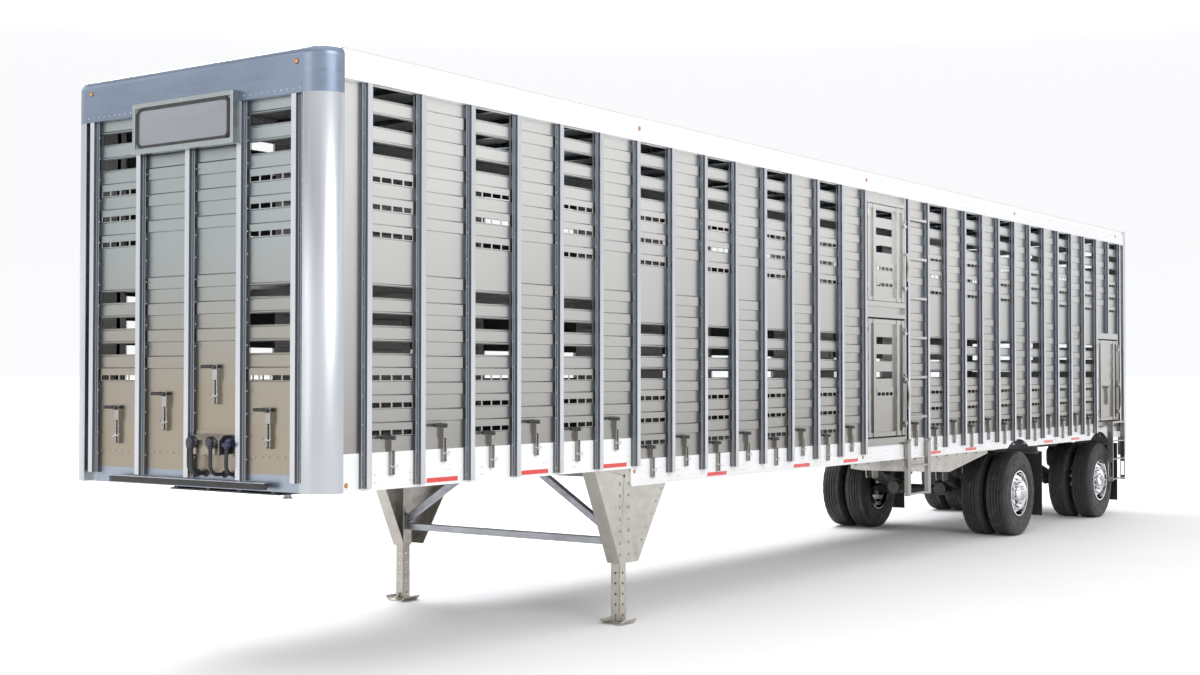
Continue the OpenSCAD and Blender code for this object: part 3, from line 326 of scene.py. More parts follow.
def bare_steel():
    f = Finish("bare_steel", (0.40, 0.41, 0.44), 0.9, 0.46)
    f.mottle(0.12, 6.0).streaks(0.12, 10.0, (1, 1, 4))
    return f.bump(150, 0.0008, 0.25).worn((0.24, 0.17, 0.12), 0.45, 18).done()


def galvanised():
    f = Finish("galvanised_plate", (0.52, 0.50, 0.465), 0.85, 0.42)
    f.mottle(0.10, 9.0).streaks(0.12, 7.0, (1, 1, 3))
    f.bump(1.8, 0.008, 0.15, (1, 1, 1), 1).bump(110, 0.0006, 0.2)
    return f.dust_and_low_shade(DUST_AND_SHADE_BROWN, 1.3, 0.3, 0.4).done()


def chassis_black():
    f = Finish("chassis_black", (0.030, 0.030, 0.033), 0.0, 0.42)
    f.mottle(0.25, 5.0).streaks(0.14, 8.0, (1, 1, 1))
    f.bump(90, 0.0010, 0.3)
    return f.worn((0.13, 0.11, 0.09), 0.5, 12).dust_and_low_shade((0.20, 0.17, 0.14), 0.95, 0.35, 0.35).done()


def shutter_black():
    f = Finish("shutter_black", (0.035, 0.036, 0.038), 0.2, 0.38)
    return f.mottle(0.2, 6.0).streaks(0.12, 9.0).bump(80, 0.0006, 0.2).done()


def polished():
    f = Finish("polished_aluminium", (0.86, 0.865, 0.875), 1.0, 0.09)
    f.mottle(0.03, 8.0).streaks(0.05, 12.0, (1, 1, 1))
    return f.bump(14, 0.0006, 0.08).done()


def tyre_rubber():
    f = Finish("tyre_rubber", (0.022, 0.022, 0.023), 0.0, 0.62)
    f.mottle(0.25, 9.0).streaks(0.12, 14.0, (1, 1, 1))
    f.bump(260, 0.0010, 0.35).bump(30, 0.0012, 0.2)
    return f.worn((0.060, 0.055, 0.048), 0.6, 8).dust_and_low_shade((0.11, 0.10, 0.085), 0.35, 0.0, 0.35).done()


def black_rubber():
    f = Finish("black_rubber", (0.018, 0.018, 0.019), 0.0, 0.50)
    f.mottle(0.2, 11.0).streaks(0.12, 16.0, (1, 1, 1))
    return f.bump(320, 0.0006, 0.3).done()


def moulded_black():
    f = Finish("moulded_black", (0.022, 0.023, 0.030), 0.0, 0.36)
    f.mottle(0.15, 15.0).streaks(0.10, 20.0, (1, 1, 1))
    return f.bump(500, 0.0004, 0.35).done()


def amber_lens():
    f = Finish("amber_lens", (0.85, 0.30, 0.02), 0.0, 0.12)
    f.bsdf.inputs["Transmission Weight"].default_value = 0.25
    f.bsdf.inputs["Coat Weight"].default_value = 0.6
    return f.mottle(0.12, 60.0).streaks(0.05, 40, (1, 1, 1)).bump(180, 0.0008, 0.3).done()


def red_lens():
    f = Finish("red_lens", (0.55, 0.010, 0.010), 0.0, 0.12)
    f.bsdf.inputs["Transmission Weight"].default_value = 0.2
    f.bsdf.inputs["Coat Weight"].default_value = 0.6
    return f.mottle(0.12, 60.0).streaks(0.05, 40, (1, 1, 1)).bump(180, 0.0008, 0.3).done()


def reflective_tape():
    """Red tape with a fine prism pattern."""
    f = Finish("reflective_tape", (0.72, 0.02, 0.015), 0.0, 0.25)
    cells = f.node("ShaderNodeTexVoronoi")
    cells.inputs["Scale"].default_value = 180
    f.link(f.coords, cells.inputs["Vector"])
    shade = f.remap(cells.outputs["Distance"], 0.0, 0.7, 0, 1)
    f.base = f.mix(shade, (0.85, 0.05, 0.03), (0.50, 0.008, 0.008))
    f.bsdf.inputs["Coat Weight"].default_value = 0.5
    return f.streaks(0.08, 30, (1, 1, 1)).bump(400, 0.0004, 0.3).done()


def sign_face():
    f = Finish("sign_face", (0.21, 0.225, 0.25), 0.0, 0.30)
    f.bsdf.inputs["Coat Weight"].default_value = 0.4
    f.bsdf.inputs["Coat Roughness"].default_value = 0.15
    f.mottle(0.05, 2.0, (1, 1, 1.5)).streaks(0.08, 4.0, (1, 0.3, 4))
    return f.bump(2.0, 0.003, 0.1, (1, 1, 1), 1).done()


ALU, WARM, POST, NOSE = sheet_aluminium(), front_aluminium(), post_aluminium(), nose_aluminium()
WHITE, CORNER, CAP, DECK = white_aluminium(), bright_corner(), cap_blue(), deck_aluminium()
STEEL, GALV, BLACK, SHUTTER = bare_steel(), galvanised(), chassis_black(), shutter_black()
CHROME, TYRE, RUBBER, PLASTIC = polished(), tyre_rubber(), black_rubber(), moulded_black()
AMBER, RED, TAPE, SIGN = amber_lens(), red_lens(), reflective_tape(), sign_face()
ROOF_METAL = roof_aluminium()

# ---------------------------------------------------------------- mesh helpers


class Shape:
    """Collects closed pieces of mesh, then makes one object of them."""

    def __init__(self):
        self.verts, self.faces, self.slots, self.smooth = [], [], [], []

    def add(self, verts, faces, slot=0, smooth=False, move=None):
        start = len(self.verts)
        self.verts += [tuple(move @ Vector(v)) if move else tuple(v) for v in verts]
        self.faces += [tuple(start + i for i in f) for f in faces]
        self.slots += [slot] * len(faces)
        self.smooth += [smooth] * len(faces)

    def box(self, lo, hi, chamfer=0.0015, slot=0, move=None):
        """Box with its edges and corners cut."""
        lo, hi = Vector(lo), Vector(hi)
        mid, half = (lo + hi) / 2, (hi - lo) / 2
        c = min(chamfer, 0.45 * min(half))
        index, verts = {}, []
        for sx in SIDES:
            for sy in SIDES:
                for sz in SIDES:
                    for axis in range(3):
                        p = [half[i] - (0 if i == axis else c) for i in range(3)]
                        index[sx, sy, sz, axis] = len(verts)
                        verts.append((mid.x + sx * p[0], mid.y + sy * p[1], mid.z + sz * p[2]))
        faces = []
        for axis in range(3):
            a, b = [i for i in range(3) if i != axis]
            for s in SIDES:
                corner = []
                for u, v in ((-1, -1), (1, -1), (1, 1), (-1, 1)):
                    key = [0, 0, 0]
                    key[axis], key[a], key[b] = s, u, v
                    corner.append(tuple(key))
                faces.append([index[(*k, axis)] for k in corner])
            for u in SIDES:
                for v in SIDES:
                    ends = []
                    for s in SIDES:
                        key = [0, 0, 0]
                        key[axis], key[a], key[b] = s, u, v
                        ends.append(tuple(key))
                    corners = ((ends[0], a), (ends[0], b), (ends[1], b), (ends[1], a))
                    faces.append([index[(*end, corner)] for end, corner in corners])
        for sx in SIDES:
            for sy in SIDES:
                for sz in SIDES:
                    faces.append([index[sx, sy, sz, axis] for axis in range(3)])
        self.add(verts, faces, slot, False, move)

    def lathe(self, profile, move, turns=24, slot=0, smooth=True):
        """Closed profile of (radius, height) points turned about local Z; a radius of 0 makes a pole."""
        verts, rings, faces = [], [], []
        for r, h in profile:
            if r < 1e-6:
                rings.append([len(verts)])
                verts.append((0, 0, h))
            else:
                rings.append(list(range(len(verts), len(verts) + turns)))
                verts += [(r * cos(2 * pi * i / turns), r * sin(2 * pi * i / turns), h) for i in range(turns)]
        pairs = list(zip(rings, rings[1:] + rings[:1]))
        for a, b in pairs:
            if len(a) == 1 and len(b) == 1:
                continue
            for i in range(turns):
                j = (i + 1) % turns
                if len(a) == 1:
                    faces.append([a[0], b[j], b[i]])
                elif len(b) == 1:
                    faces.append([a[i], a[j], b[0]])
                else:
                    faces.append([a[i], a[j], b[j], b[i]])
        self.add(verts, faces, slot, smooth, move)

    def tube(self, points, radius, sides=10, slot=0, move=None):
        """Round bar along a path, with closed ends."""
        points = [Vector(p) for p in points]
        verts, faces = [], []
        side = None
        for n, p in enumerate(points):
            ahead = points[min(n + 1, len(points) - 1)] - points[max(n - 1, 0)]
            ahead.normalize()
            if side is None:
                side = ahead.orthogonal().normalized()
            side = (side - ahead * side.dot(ahead)).normalized()
            up = ahead.cross(side)
            r = radius[n] if isinstance(radius, list) else radius
            angles = [2 * pi * i / sides for i in range(sides)]
            verts += [p + r * (cos(a) * side + sin(a) * up) for a in angles]
        for n in range(len(points) - 1):
            for i in range(sides):
                j = (i + 1) % sides
                faces.append([n * sides + i, n * sides + j, (n + 1) * sides + j, (n + 1) * sides + i])
        last = (len(points) - 1) * sides
        faces += [list(range(sides))[::-1], [last + i for i in range(sides)]]
        self.add(verts, faces, slot, True, move)

    def prism(self, outline, origin, u, v, depth, slot=0, chamfer=0.0):
        """Outline of (u, v) points pushed along u x v by depth, its rims cut by chamfer."""
        origin, u, v = Vector(origin), Vector(u), Vector(v)
        w = u.cross(v)
        centre = Vector((sum(p[0] for p in outline), sum(p[1] for p in outline))) / len(outline)
        shrunk = []
        for p in outline:
            away = Vector(p) - centre
            shrunk.append(Vector(p) - away.normalized() * chamfer)
        levels = [(shrunk, 0), (outline, chamfer), (outline, depth - chamfer), (shrunk, depth)]
        if not chamfer:
            levels = [(outline, 0), (outline, depth)]
        n, verts, faces = len(outline), [], []
        for points, d in levels:
            verts += [origin + u * p[0] + v * p[1] + w * d for p in points]
        for level in range(len(levels) - 1):
            for i in range(n):
                j = (i + 1) % n
                faces.append([level * n + i, level * n + j, (level + 1) * n + j, (level + 1) * n + i])
        last = (len(levels) - 1) * n
        faces += [list(range(n))[::-1], [last + i for i in range(n)]]
        self.add(verts, faces, slot)

    def build(self, name, materials, thickness=0.0):
        mesh = bpy.data.meshes.new(name)
        mesh.from_pydata([tuple(v) for v in self.verts], [], self.faces)
        for m in materials:
            mesh.materials.append(m)
        mesh.polygons.foreach_set("material_index", self.slots)
        mesh.polygons.foreach_set("use_smooth", self.smooth)
        bm = bmesh.new()
        bm.from_mesh(mesh)
        bmesh.ops.recalc_face_normals(bm, faces=bm.faces)
        bm.to_mesh(mesh)
        bm.free()
        obj = bpy.data.objects.new(name, mesh)
        bpy.context.scene.collection.objects.link(obj)
        if thickness:
            solid = obj.modifiers.new("thickness", "SOLIDIFY")
            solid.thickness = thickness
            solid.offset = -1
        return obj


def facing(point, normal):
    """Matrix that puts local Z along normal at point."""
    turn = Vector((0, 0, 1)).rotation_difference(Vector(normal))
    return Matrix.Translation(Vector(point)) @ turn.to_matrix().to_4x4()


def place(obj, body, slot, *nodes):
    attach(obj, body)
    if nodes:
        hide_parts(*nodes)
    return obj


def dome(shape, point, normal, r=0.006, h=0.003, slot=0):
    """Round rivet head."""
    profile = [(0, h), (0.55 * r, 0.82 * h), (0.9 * r, 0.4 * h), (r, -0.001), (0, -0.001)]
    shape.lathe(profile, facing(point, normal), 8, slot)


def bolt(shape, point, normal, r=0.011, slot=0):
    """Hexagon head on a washer."""
    move = facing(point, normal)
    shape.lathe([(1.7 * r, -0.001), (1.7 * r, 0.002), (0, 0.002), (0, -0.001)], move, 16, slot, False)
    head = [(r, 0.001), (r, 0.75 * r), (0.85 * r, 0.9 * r), (0, 0.9 * r), (0, 0.001)]
    shape.lathe(head, move, 6, slot, False)


# ---------------------------------------------------------------- hoses, first of all

HOSE_R = 0.013
HOSE_BEND = 0.060
WALL_X = at(POST_D)
HOSE_LOW = 1.346
# y, height of the upper end, distance in front of the front plane
AIR_Y, SOCKET_Y = (-0.061, -0.435), (-0.140, -0.330)
HOSES = tuple((y, 1.520, 0.030) for y in AIR_Y) + tuple((y, 1.529, 0.074) for y in SOCKET_Y)


def hose_path(y, top, out):
    """Straight down, a quarter ring, then straight back into the wall."""
    down_to = HOSE_LOW + HOSE_BEND
    points = [(at(-out), y, top + (down_to - top) * i / 5) for i in range(5)]
    for i in range(13):
        a = pi / 2 * i / 12
        points.append((at(-out) + HOSE_BEND * (1 - cos(a)), y, down_to - HOSE_BEND * sin(a)))
    start = at(-out) + HOSE_BEND
    points += [(start + (WALL_X - start) * i / 3, y, HOSE_LOW) for i in range(1, 4)]
    return points


def make_hoses():
    for n, (y, top, out) in enumerate(HOSES):
        points = hose_path(y, top, out)
        shape = Shape()
        shape.tube(points, HOSE_R, 14)
        hose = place(shape.build(f"hose_{n + 1}", [RUBBER]), "trailer", "rubber", "air_hoses")


# ---------------------------------------------------------------- wall panels

SLOT_TOPS = (3.905, 3.721, 3.537, 2.592, 2.409, 2.226)
WINDOW_TOPS = (3.312, 3.130, 2.948, 2.004, 1.822, 1.640)
RIB_ROWS = ((3.725, 3.821), (3.540, 3.630), (3.357, 3.447), (3.175, 3.265), (2.993, 3.083), (2.595, 2.687),
            (2.414, 2.505), (2.231, 2.322), (2.048, 2.139), (1.870, 1.960), (1.688, 1.778), (1.508, 1.598))
SLOT_H, WINDOW_H, WINDOW_W, WINDOW_PITCH = 0.076, 0.034, 0.092, 0.107
PRESSED_UP = 0.056
SLOPE = 0.009
RIB_END = 0.010
# half the width of a handle stem's slot
STEM_W = 0.008


def pressed_panel(shape, bands, holes, z0, z1, to_world, half=PITCH / 2):
    """Sheet in its own plane (u across, z up) with pressed bands and cut holes.

    to_world(u, out, z) gives the place of a point. A band is (u0, u1, z0, z1, depth).
    A hole is (u0, u1, z0, z1).
    """
    us, zs = {-half, half}, {z0, z1}
    for u0, u1, b0, b1, _ in bands:
        us |= {u0, u0 + SLOPE, u1 - SLOPE / 2, u1}
        zs |= {b0, b0 + SLOPE * 0.5, b1 - SLOPE, b1}
    for u0, u1, h0, h1 in holes:
        us |= {u0, u1}
        zs |= {h0, h1}
    us = sorted(u for u in us if -half <= u <= half)
    zs = sorted(z for z in zs if z0 <= z <= z1)

    def depth(u, z):
        best = 0.0
        for u0, u1, b0, b1, d in bands:
            edge = min((u - u0) / SLOPE, 2 * (u1 - u) / SLOPE, 2 * (z - b0) / SLOPE, (b1 - z) / SLOPE)
            best = max(best, d * min(1.0, max(0.0, edge)))
        return best

    verts = [to_world(u, depth(u, z), z) for z in zs for u in us]
    faces = []
    for j in range(len(zs) - 1):
        for i in range(len(us) - 1):
            mu, mz = (us[i] + us[i + 1]) / 2, (zs[j] + zs[j + 1]) / 2
            if any(u0 < mu < u1 and h0 < mz < h1 for u0, u1, h0, h1 in holes):
                continue
            a = j * len(us) + i
            faces.append((a, a + 1, a + 1 + len(us), a + len(us)))
    used = sorted({i for f in faces for i in f})
    renumber = {old: new for new, old in enumerate(used)}
    shape.add([verts[i] for i in used], [tuple(renumber[i] for i in f) for f in faces])


def vent_features(z_min, z_max, drop, stem_slot):
    """Bands and holes of a perforated panel."""
    bands, holes = [], stem_slot
    edge = CLEAR / 2 - 0.001
    end = edge - RIB_END
    for top in SLOT_TOPS:
        top -= drop if top < 2.6 else 0
        if z_min < top - SLOT_H and top < z_max:
            holes.append((-edge + 0.007, edge - 0.007, top - SLOT_H, top))
            if top < 3.89:
                bands.append((-edge, end, top + 0.001, top + 0.020, 0.8 * RIB_D))
            bands.append((-edge, end, top - SLOT_H - 0.014, top - SLOT_H - 0.001, 0.5 * RIB_D))
    for top in WINDOW_TOPS:
        top -= drop if top < 2.6 else 0
        if z_min < top - WINDOW_H and top + PRESSED_UP < z_max:
            bands.append((-edge, end, top - WINDOW_H - 0.010, top + PRESSED_UP, RIB_D))
            for i in (-1.5, -0.5, 0.5, 1.5):
                mid = i * WINDOW_PITCH
                holes.append((mid - WINDOW_W / 2, mid + WINDOW_W / 2, top - WINDOW_H, top))
    return bands, holes


def rib_features(z_min, z_max):
    edge = CLEAR / 2 - 0.001
    rows = [row for row in RIB_ROWS if z_min < row[0] and row[1] < z_max]
    return [(-edge, edge - RIB_END, low, high, RIB_D) for low, high in rows]


def side_wall(k, side):
    mid = at(bay_mid(k))
    return lambda u, out, z: (mid + u, side * (SKIN + out), z)


def front_wall(y):
    return lambda u, out, z: (WALL_X - out, y + u, z)


def add_rib_end_shadow_blocks(shape, k, side, bands):
    """Dark rubber blocks at the post's flange where each pressed band ends: painted shadow for the gap
    between the band's end and the post.
    """
    right = at(post_x(k) + CLEAR)
    for _, _, low, high, depth in bands:
        if depth == RIB_D:
            y = sorted((side * (SKIN + 0.0005), side * (SKIN + 0.0125)))
            shape.box((right - 0.0085, y[0], low + 0.006), (right - 0.0005, y[1], high - 0.004), 0.001)


# middle, lowest point, and whether the bay is perforated
FRONT_BAYS = ((-1.5 * PITCH, 1.682, True), (-0.5 * PITCH, 1.947, False),
              (0.5 * PITCH, 1.762, False), (1.5 * PITCH, 1.682, True))
CAP_LOW = 3.812


def make_panels():
    vent, ribbed, front, rib_end_shadow_blocks = Shape(), Shape(), Shape(), Shape()
    for side in SIDES:
        for k in range(BAYS):
            if is_door_bay(k, side):
                continue
            low = wall_low(k, side)
            drop = 0 if k < STEP_BAY else ROW_DROP
            if is_vent(k, side):
                slot = [(-STEM_W, STEM_W, low + 0.001, low + 0.102)] if has_grip(k, side) else []
                bands, holes = vent_features(low, ROOF_RAIL, drop, slot)
                pressed_panel(vent, bands, holes, low, ROOF_RAIL, side_wall(k, side))
            else:
                slot = [(-STEM_W, STEM_W, low + 0.060, low + 0.168)] if has_grip(k, side) else []
                bands = rib_features(low + 0.11, ROOF_RAIL)
                pressed_panel(ribbed, bands, slot, low, ROOF_RAIL, side_wall(k, side))
            add_rib_end_shadow_blocks(rib_end_shadow_blocks, k, side, bands)
        for x0, x1, low in ((0.184, FIRST_POST - 0.5 * POST_W, RAIL_TOP),
                            (post_x(BAYS) - 0.5 * POST_W, REAR - FRONT - 0.104, RAIL_LOW_TOP)):
            ends = [(at(x0), side * SKIN, low), (at(x1), side * SKIN, low),
                    (at(x1), side * SKIN, ROOF_RAIL), (at(x0), side * SKIN, ROOF_RAIL)]
            ribbed.add(ends, [(0, 1, 2, 3)])
    for y, low, open_bay in FRONT_BAYS:
        foot, top = (0.002, 0.099) if open_bay else (0.010, 0.122)
        slot = [(-STEM_W, STEM_W, low + foot, low + top)]
        if open_bay:
            bands, holes = vent_features(1.790, CAP_LOW - 0.04, 0, slot)
        else:
            bands, holes = rib_features(low + 0.14, 3.5), slot
        pressed_panel(front, bands, holes, low, CAP_LOW, front_wall(y))
    for y0, y1 in ((-1.172, -1.032), (1.032, 1.172)):
        front.add([(WALL_X, y0, 1.682), (WALL_X, y1, 1.682), (WALL_X, y1, CAP_LOW), (WALL_X, y0, CAP_LOW)],
                  [(0, 1, 2, 3)])
    pieces = ((vent, "perforated_panels", ALU, "vent_panels"),
              (ribbed, "ribbed_side_panels", ALU, "ribbed_panels"),
              (front, "front_wall_panels", WARM, None))
    for shape, name, material, node in pieces:
        obj = place(shape.build(name, [material], SHEET_T - 0.001), "trailer", "alu_sheet")
        if node:
            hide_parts(node)
    # Black blocks at the band ends are painted shadow.
    place(rib_end_shadow_blocks.build("rib_end_shadows", [RUBBER]), "trailer", "rubber")


# ---------------------------------------------------------------- shutter handles


def punched_strip(shape, origin, u, v, w, width, cell, count, hole, thick, slot=0):
    """Strip along v with a round hole in each cell, thick along w."""
    origin, u, v, w = Vector(origin), Vector(u), Vector(v), Vector(w)
    ring = [(cos(pi / 4 * i), sin(pi / 4 * i)) for i in range(8)]
    border = [(1, 0), (1, 1), (0, 1), (-1, 1), (-1, 0), (-1, -1), (0, -1), (1, -1)]
    for n in range(count):
        mid = origin + u * (width / 2) + v * (cell * (n + 0.5))
        verts = []
        for level in (0, thick):
            verts += [mid + u * (hole * a) + v * (hole * b) + w * level for a, b in ring]
            verts += [mid + u * (width / 2 * a) + v * (cell / 2 * b) + w * level for a, b in border]
        faces = []
        for i in range(8):
            j = (i + 1) % 8
            faces += [(i, j, 8 + j, 8 + i), (16 + i, 16 + j, 24 + j, 24 + i), (i, 16 + i, 16 + j, j),
                      (8 + i, 8 + j, 24 + j, 24 + i)]
        shape.add(verts, faces, slot)


def guide_frame(k, side):
    """Axes of a handle guide on a side wall: along, outward, and its place."""
    return Vector((at(bay_mid(k)), side * SKIN, stem(k, side))), Vector((1, 0, 0)), Vector((0, side, 0))


def add_guide(shape, origin, along, out):
    """Two punched strips bent to angles, joined at the foot, with a twisted wire clip."""
    up = Vector((0, 0, 1))
    base = origin - up * 0.249
    for left in (-0.019, 0.008):
        start = base + along * left + out * 0.022
        punched_strip(shape, start, along, up, out, 0.012, 0.0243, 10, 0.0034, 0.002)
        edge = left if left < 0 else left + 0.010
        a = base + along * edge
        lo, hi = a, a + along * 0.002 + out * 0.023 + up * 0.243
        shape.box([min(p, q) for p, q in zip(lo, hi)], [max(p, q) for p, q in zip(lo, hi)], 0.0004)
    foot = [base - along * 0.019, base + along * 0.020 + out * 0.024 + up * 0.003]
    shape.box([min(p, q) for p, q in zip(*foot)], [max(p, q) for p, q in zip(*foot)], 0.0004)
    clip = [(-0.024, 0.020, 0.004), (-0.016, 0.030, 0.000), (-0.004, 0.031, -0.006), (0.006, 0.030, 0.004),
            (0.018, 0.031, -0.004), (0.030, 0.027, 0.006), (0.044, 0.022, 0.008), (0.055, 0.018, 0.002),
            (0.062, 0.015, -0.010), (0.060, 0.011, -0.022)]
    path = [origin - up * 0.190 + along * a + out * b + up * c for a, b, c in clip]
    shape.tube(path, 0.0022, 6, 1)
    path = [p + up * (0.006 * cos(2.2 * n)) + out * (0.002 * sin(2.2 * n)) for n, p in enumerate(path[:8])]
    shape.tube(path, 0.0020, 6, 1)


def add_handle(shape, origin, along, out):
    """Slider plate bent round the guide, and a ribbed rubber grip."""
    up = Vector((0, 0, 1))

    def block(a0, a1, o0, o1, z0, z1, c=0.001):
        ends = [origin + along * a0 + out * o0 + up * z0, origin + along * a1 + out * o1 + up * z1]
        shape.box([min(p, q) for p, q in zip(*ends)], [max(p, q) for p, q in zip(*ends)], c, 1)

    block(-0.022, 0.023, 0.0275, 0.0300, -0.086, 0.018)
    block(-0.0055, 0.0065, 0.0060, 0.0280, 0.0155, 0.018)
    axis = Matrix((along, out, up)).transposed().to_4x4()
    grip_end = origin + out * 0.0365 + up * 0.004 - along * 0.128
    turn = Matrix.Translation(grip_end) @ axis @ Matrix.Rotation(pi / 2, 4, "Y")
    profile = [(0, 0), (0.007, 0.0008), (0.0102, 0.004)]
    for n in range(9):
        profile += [(0.0118, 0.007 + n * 0.0095), (0.0118, 0.0125 + n * 0.0095), (0.0104, 0.014 + n * 0.0095)]
    profile += [(0.0118, 0.096), (0.0118, 0.104), (0, 0.104)]
    shape.lathe(profile, turn, 14, 0)


def make_handles():
    guides = Shape()
    front_along, front_out = Vector((0, 1, 0)), Vector((-1, 0, 0))
    handles = {"left": Shape(), "right": Shape(), "front": Shape()}
    for side, name in ((-1, "left"), (1, "right")):
        for k in range(BAYS):
            if not has_grip(k, side):
                continue
            add_guide(guides, *guide_frame(k, side))
            add_handle(handles[name], *guide_frame(k, side))
    for y, low, open_bay in FRONT_BAYS:
        origin = Vector((WALL_X, y, low + (0.092 if open_bay else 0.111)))
        add_guide(guides, origin, front_along, front_out)
        add_handle(handles["front"], origin, -front_along, front_out)
    place(guides.build("guide_channels", [ALU, CHROME]), "trailer", "alu_sheet", "vent_guides")
    for name, shape in handles.items():
        place(shape.build(f"shutter_handles_{name}", [RUBBER, ALU]), f"shutters_{name}", "rubber")
    door = Shape()
    middle = Vector((at(post_x(REAR_BAY) + DOOR_W / 2), -DOOR_FACE, 1.835))
    add_handle(door, middle, Vector((1, 0, 0)), Vector((0, -1, 0)))
    place(door.build("door_handle_rear", [RUBBER, ALU]), "door_rear_side", "rubber")


# ---------------------------------------------------------------- rivets and bolts


AXLES = (11.98, 15.08)


def roof_crown(y):
    """Height of the roof sheet across the trailer."""
    edge = max(0.0, abs(y) - 0.9)
    return ROOF - 0.003 * (abs(y) - edge) / 0.9 - 0.003 * edge / 0.378


def make_rivets():
    heads, bolts = Shape(), Shape()
    for side in SIDES:
        out = (0, side, 0)
        for k in range(BAYS + 1):
            low = 1.30 if k <= STEP_BAY else 1.23
            if side < 0 and k == DOOR_BAY + 1:
                continue
            z = low
            while z < 3.88:
                dome(heads, (at(post_x(k) - POST_W + 0.012), side * (SKIN + 0.024), z), out)
                z += 0.190
        for k in range(BAYS):
            if is_door_bay(k, side):
                continue
            low = wall_low(k, side)
            for i in range(4):
                dome(heads, (at(post_x(k) + 0.035 + i * 0.123), side * SKIN, low + 0.014), out, 0.005)
        for n in range(43):
            station = 0.140 + n * 0.366
            rail = (RAIL_BOTTOM if station < STEP_X else RAIL_LOW_BOTTOM) + 0.050
            in_arch = any(abs(station - centre) < 0.70 for centre in AXLES)
            if station < 0.2 or in_arch:
                continue
            for dx in (-0.016, 0.016):
                for dz in (0.0, 0.050):
                    dome(heads, (at(station + dx), side * SKIN, rail + dz), out, 0.006)
        x = 0.21
        while x < REAR - FRONT - 0.12:
            dome(heads, (at(x), side * HALF_W, ROOF_RAIL + 0.018), out, 0.0045, 0.0025)
            x += 0.172
    for y in (-1.027, -0.516, -0.0035, 0.513, 1.038):
        for n in range(17):
            z = 1.30 + n * 0.150
            if z < 3.80:
                dome(heads, (at(0.026), y - 0.052, z), (-1, 0, 0), 0.0055)
    for n in range(38):
        dome(heads, (at(0), -1.08 + n * 2.16 / 37, 3.842), (-1, 0, 0), 0.0055)
    for n in range(33):
        y = -1.10 + n * 2.2 / 32
        dome(heads, (at(0.0385), y, 1.470), (-1, 0, 0), 0.005)
    for k in range(BAYS + 1):
        for n in range(13):
            y = -1.2 + n * 0.2
            dome(heads, (at(post_x(k) - 0.038), y, roof_crown(y) - 0.0005), (0, 0, 1), 0.007, 0.0005)
    leg_x = sum(p.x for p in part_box("landing_leg_left")) / 2
    face = 1.2375
    for side in SIDES:
        for dx in (-0.060, 0.060):
            for n in range(7):
                z = 0.56 + n * 0.095
                bolt(bolts, (leg_x + dx, side * face, z), (0, side, 0), 0.009)
        for n in range(6):
            t = n / 5
            bolt(bolts, (leg_x + 0.17 + 0.36 * t, side * face, 0.56 + 0.50 * t), (0, side, 0), 0.007)
        for n in range(12):
            bolt(bolts, (at(7.75 + n * 0.29), side * 1.116, 1.075), (0, side, 0), 0.008)
        for n in range(5):
            bolt(bolts, (at(9.0 + n * 0.20), side * 1.116, 0.985), (0, side, 0), 0.007)
    place(heads.build("rivet_heads", [POST]), "trailer", "alu_post", "rivets")
    place(bolts.build("frame_bolts", [STEEL]), "trailer", "steel_grey")


# ---------------------------------------------------------------- front end


def rounded_rect(w, h, r, per_corner=6):
    points = []
    for n, (sx, sy) in enumerate(((1, 1), (-1, 1), (-1, -1), (1, -1))):
        for i in range(per_corner + 1):
            a = pi / 2 * (n + i / per_corner)
            points.append((sx * (w / 2 - r) + r * cos(a), sy * (h / 2 - r) + r * sin(a)))
    return points


def make_sign_trim():
    """Rubber gasket round the sign's face, a slightly domed panel in it, and screws in the frame."""
    lo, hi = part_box("sign_box")
    mid_z = (lo.z + hi.z) / 2
    face_x = lo.x + 0.013
    shape = Shape()
    w, h = 0.930, 0.262
    loop = rounded_rect(w, h, 0.045)
    ring = [(face_x - 0.004, u, mid_z + v) for u, v in loop]
    shape.tube(ring + ring[:2], 0.0135, 8, 0)
    verts, faces = [], []
    for scale, out in ((1.0, 0.001), (0.97, 0.006), (0.90, 0.0085), (0.0, 0.010)):
        verts += [(face_x - out, u * scale, mid_z + v * scale) for u, v in loop]
    n = len(loop)
    for level in range(3):
        for i in range(n):
            j = (i + 1) % n
            faces.append((level * n + i, level * n + j, (level + 1) * n + j, (level + 1) * n + i))
    back = len(verts)
    verts += [(face_x + 0.001, u, mid_z + v) for u, v in loop]
    faces += [(i, (i + 1) % n, back + (i + 1) % n, back + i) for i in range(n)]
    faces.append(tuple(range(back, back + n)))
    shape.add(verts, faces, 1, True)
    for y in (lo.y + 0.016, (lo.y + hi.y) / 2, hi.y - 0.016):
        for z in (lo.z + 0.016, hi.z - 0.016):
            dome(shape, (lo.x, y, z), (-1, 0, 0), 0.006, 0.003, 2)
    place(shape.build("sign_trim", [RUBBER, SIGN, POST]), "trailer", "sign_grey")


BOX_FACE = at(-0.046)


